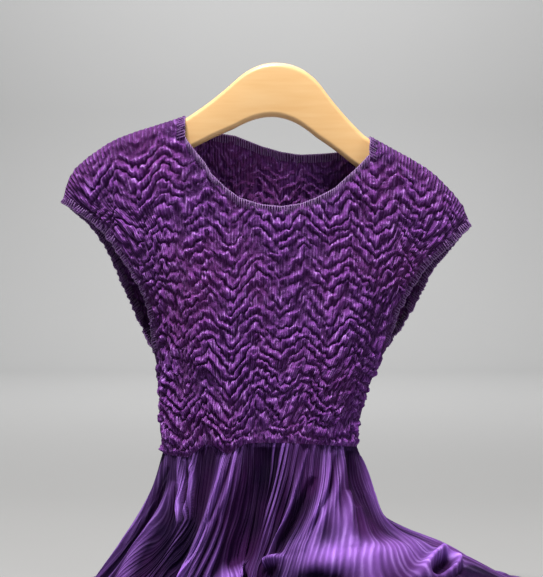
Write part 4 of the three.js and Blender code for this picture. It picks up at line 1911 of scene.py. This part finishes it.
@dataclass(frozen=True)
class Studio:
    """Camera, lights, floor and backdrop."""

    camera_x: float = -10.6
    camera_y: float = -1477
    camera_z: float = -185.9
    target_z: float = -237.5
    lens: float = 87.1
    clip_end: float = 30
    floor_front: float = -2500
    floor_back: float = 2900
    bend_radius: float = 900
    half_width: float = 4500
    wall_top: float = 3000
    bend_steps: int = 24
    room_colour: tuple = (0.95, 0.97, 1.0, 1)
    room_strength: float = 0.12
    lights: tuple = (
        SoftLight("key", (-0.35, -0.75, 1.9), 0.45, 98, (1, 0.985, 0.96)),
        SoftLight("fill", (1.8, -2.0, 0.5), 1.4, 15, (0.96, 0.97, 1)),
        SoftLight("wall", (0, 2.2, 1.7), 2.5, 78, target=(0, 3.8, 0.7)),
        SoftLight("ground", (0, 1.3, 3.0), 2.8, 85, target=(0, 1.6, -0.6)),
    )

    def build_camera(self) -> bpy.types.Object:
        """Makes the camera at the photograph's angle.

        Returns:
            The camera.
        """
        data = bpy.data.cameras.new("camera")
        data.lens = self.lens
        data.clip_end = self.clip_end
        camera = place_object("camera", data)
        camera.location = Vector((self.camera_x, self.camera_y, self.camera_z)) * MM
        aim(camera, Vector((self.camera_x, 0, self.target_z)) * MM)
        bpy.context.scene.camera = camera
        return camera

    def build_floor(self) -> bpy.types.Object:
        """Makes a floor that bends up into a backdrop.

        Returns:
            The floor.
        """
        profile = [(self.floor_front, FLOOR_Z)]
        for step in range(self.bend_steps + 1):
            angle = math.pi / 2 * step / self.bend_steps
            y = self.floor_back + self.bend_radius * math.sin(angle)
            profile.append((y, FLOOR_Z + self.bend_radius * (1 - math.cos(angle))))
        profile.append((self.floor_back + self.bend_radius, self.wall_top))
        points = np.array([(x, y, z) for y, z in profile for x in (-self.half_width, self.half_width)], float)
        faces = [(2 * row, 2 * row + 1, 2 * row + 3, 2 * row + 2) for row in range(len(profile) - 1)]
        floor = solid_object("floor", points, faces)
        floor.data.materials.append(PaperFinish("pale_paper").build())
        return floor

    def build_world(self) -> None:
        """Gives the room its even light."""
        world = bpy.data.worlds.new("room")
        world.use_nodes = True
        background = world.node_tree.nodes["Background"]
        background.inputs["Color"].default_value = self.room_colour
        background.inputs["Strength"].default_value = self.room_strength
        bpy.context.scene.world = world

    def build(self) -> None:
        """Makes the whole studio."""
        self.build_camera()
        self.build_world()
        self.build_floor()
        for light in self.lights:
            light.build()
        bpy.context.scene.view_settings.view_transform = "Standard"


def main() -> None:
    """Builds the studio and each piece in order."""
    logging.basicConfig(level=logging.INFO, format="%(message)s")
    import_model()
    Studio().build()
    dress = Dress()
    crepe = CrepeFinish("crinkled_crepe").build()
    pleated = PLEATED_CREPE.build()
    thread = ThreadFinish("overlock_thread").build()
    made = [dress.build_hanger()]
    for side in Side:
        made.extend(dress.build_bodice(side, crepe, thread))
        made.append(dress.build_skirt(side, pleated))
    for piece in made:
        LOG.info("%s: %d faces", piece.name, len(piece.data.polygons))


if __name__ == "__main__":
    main()
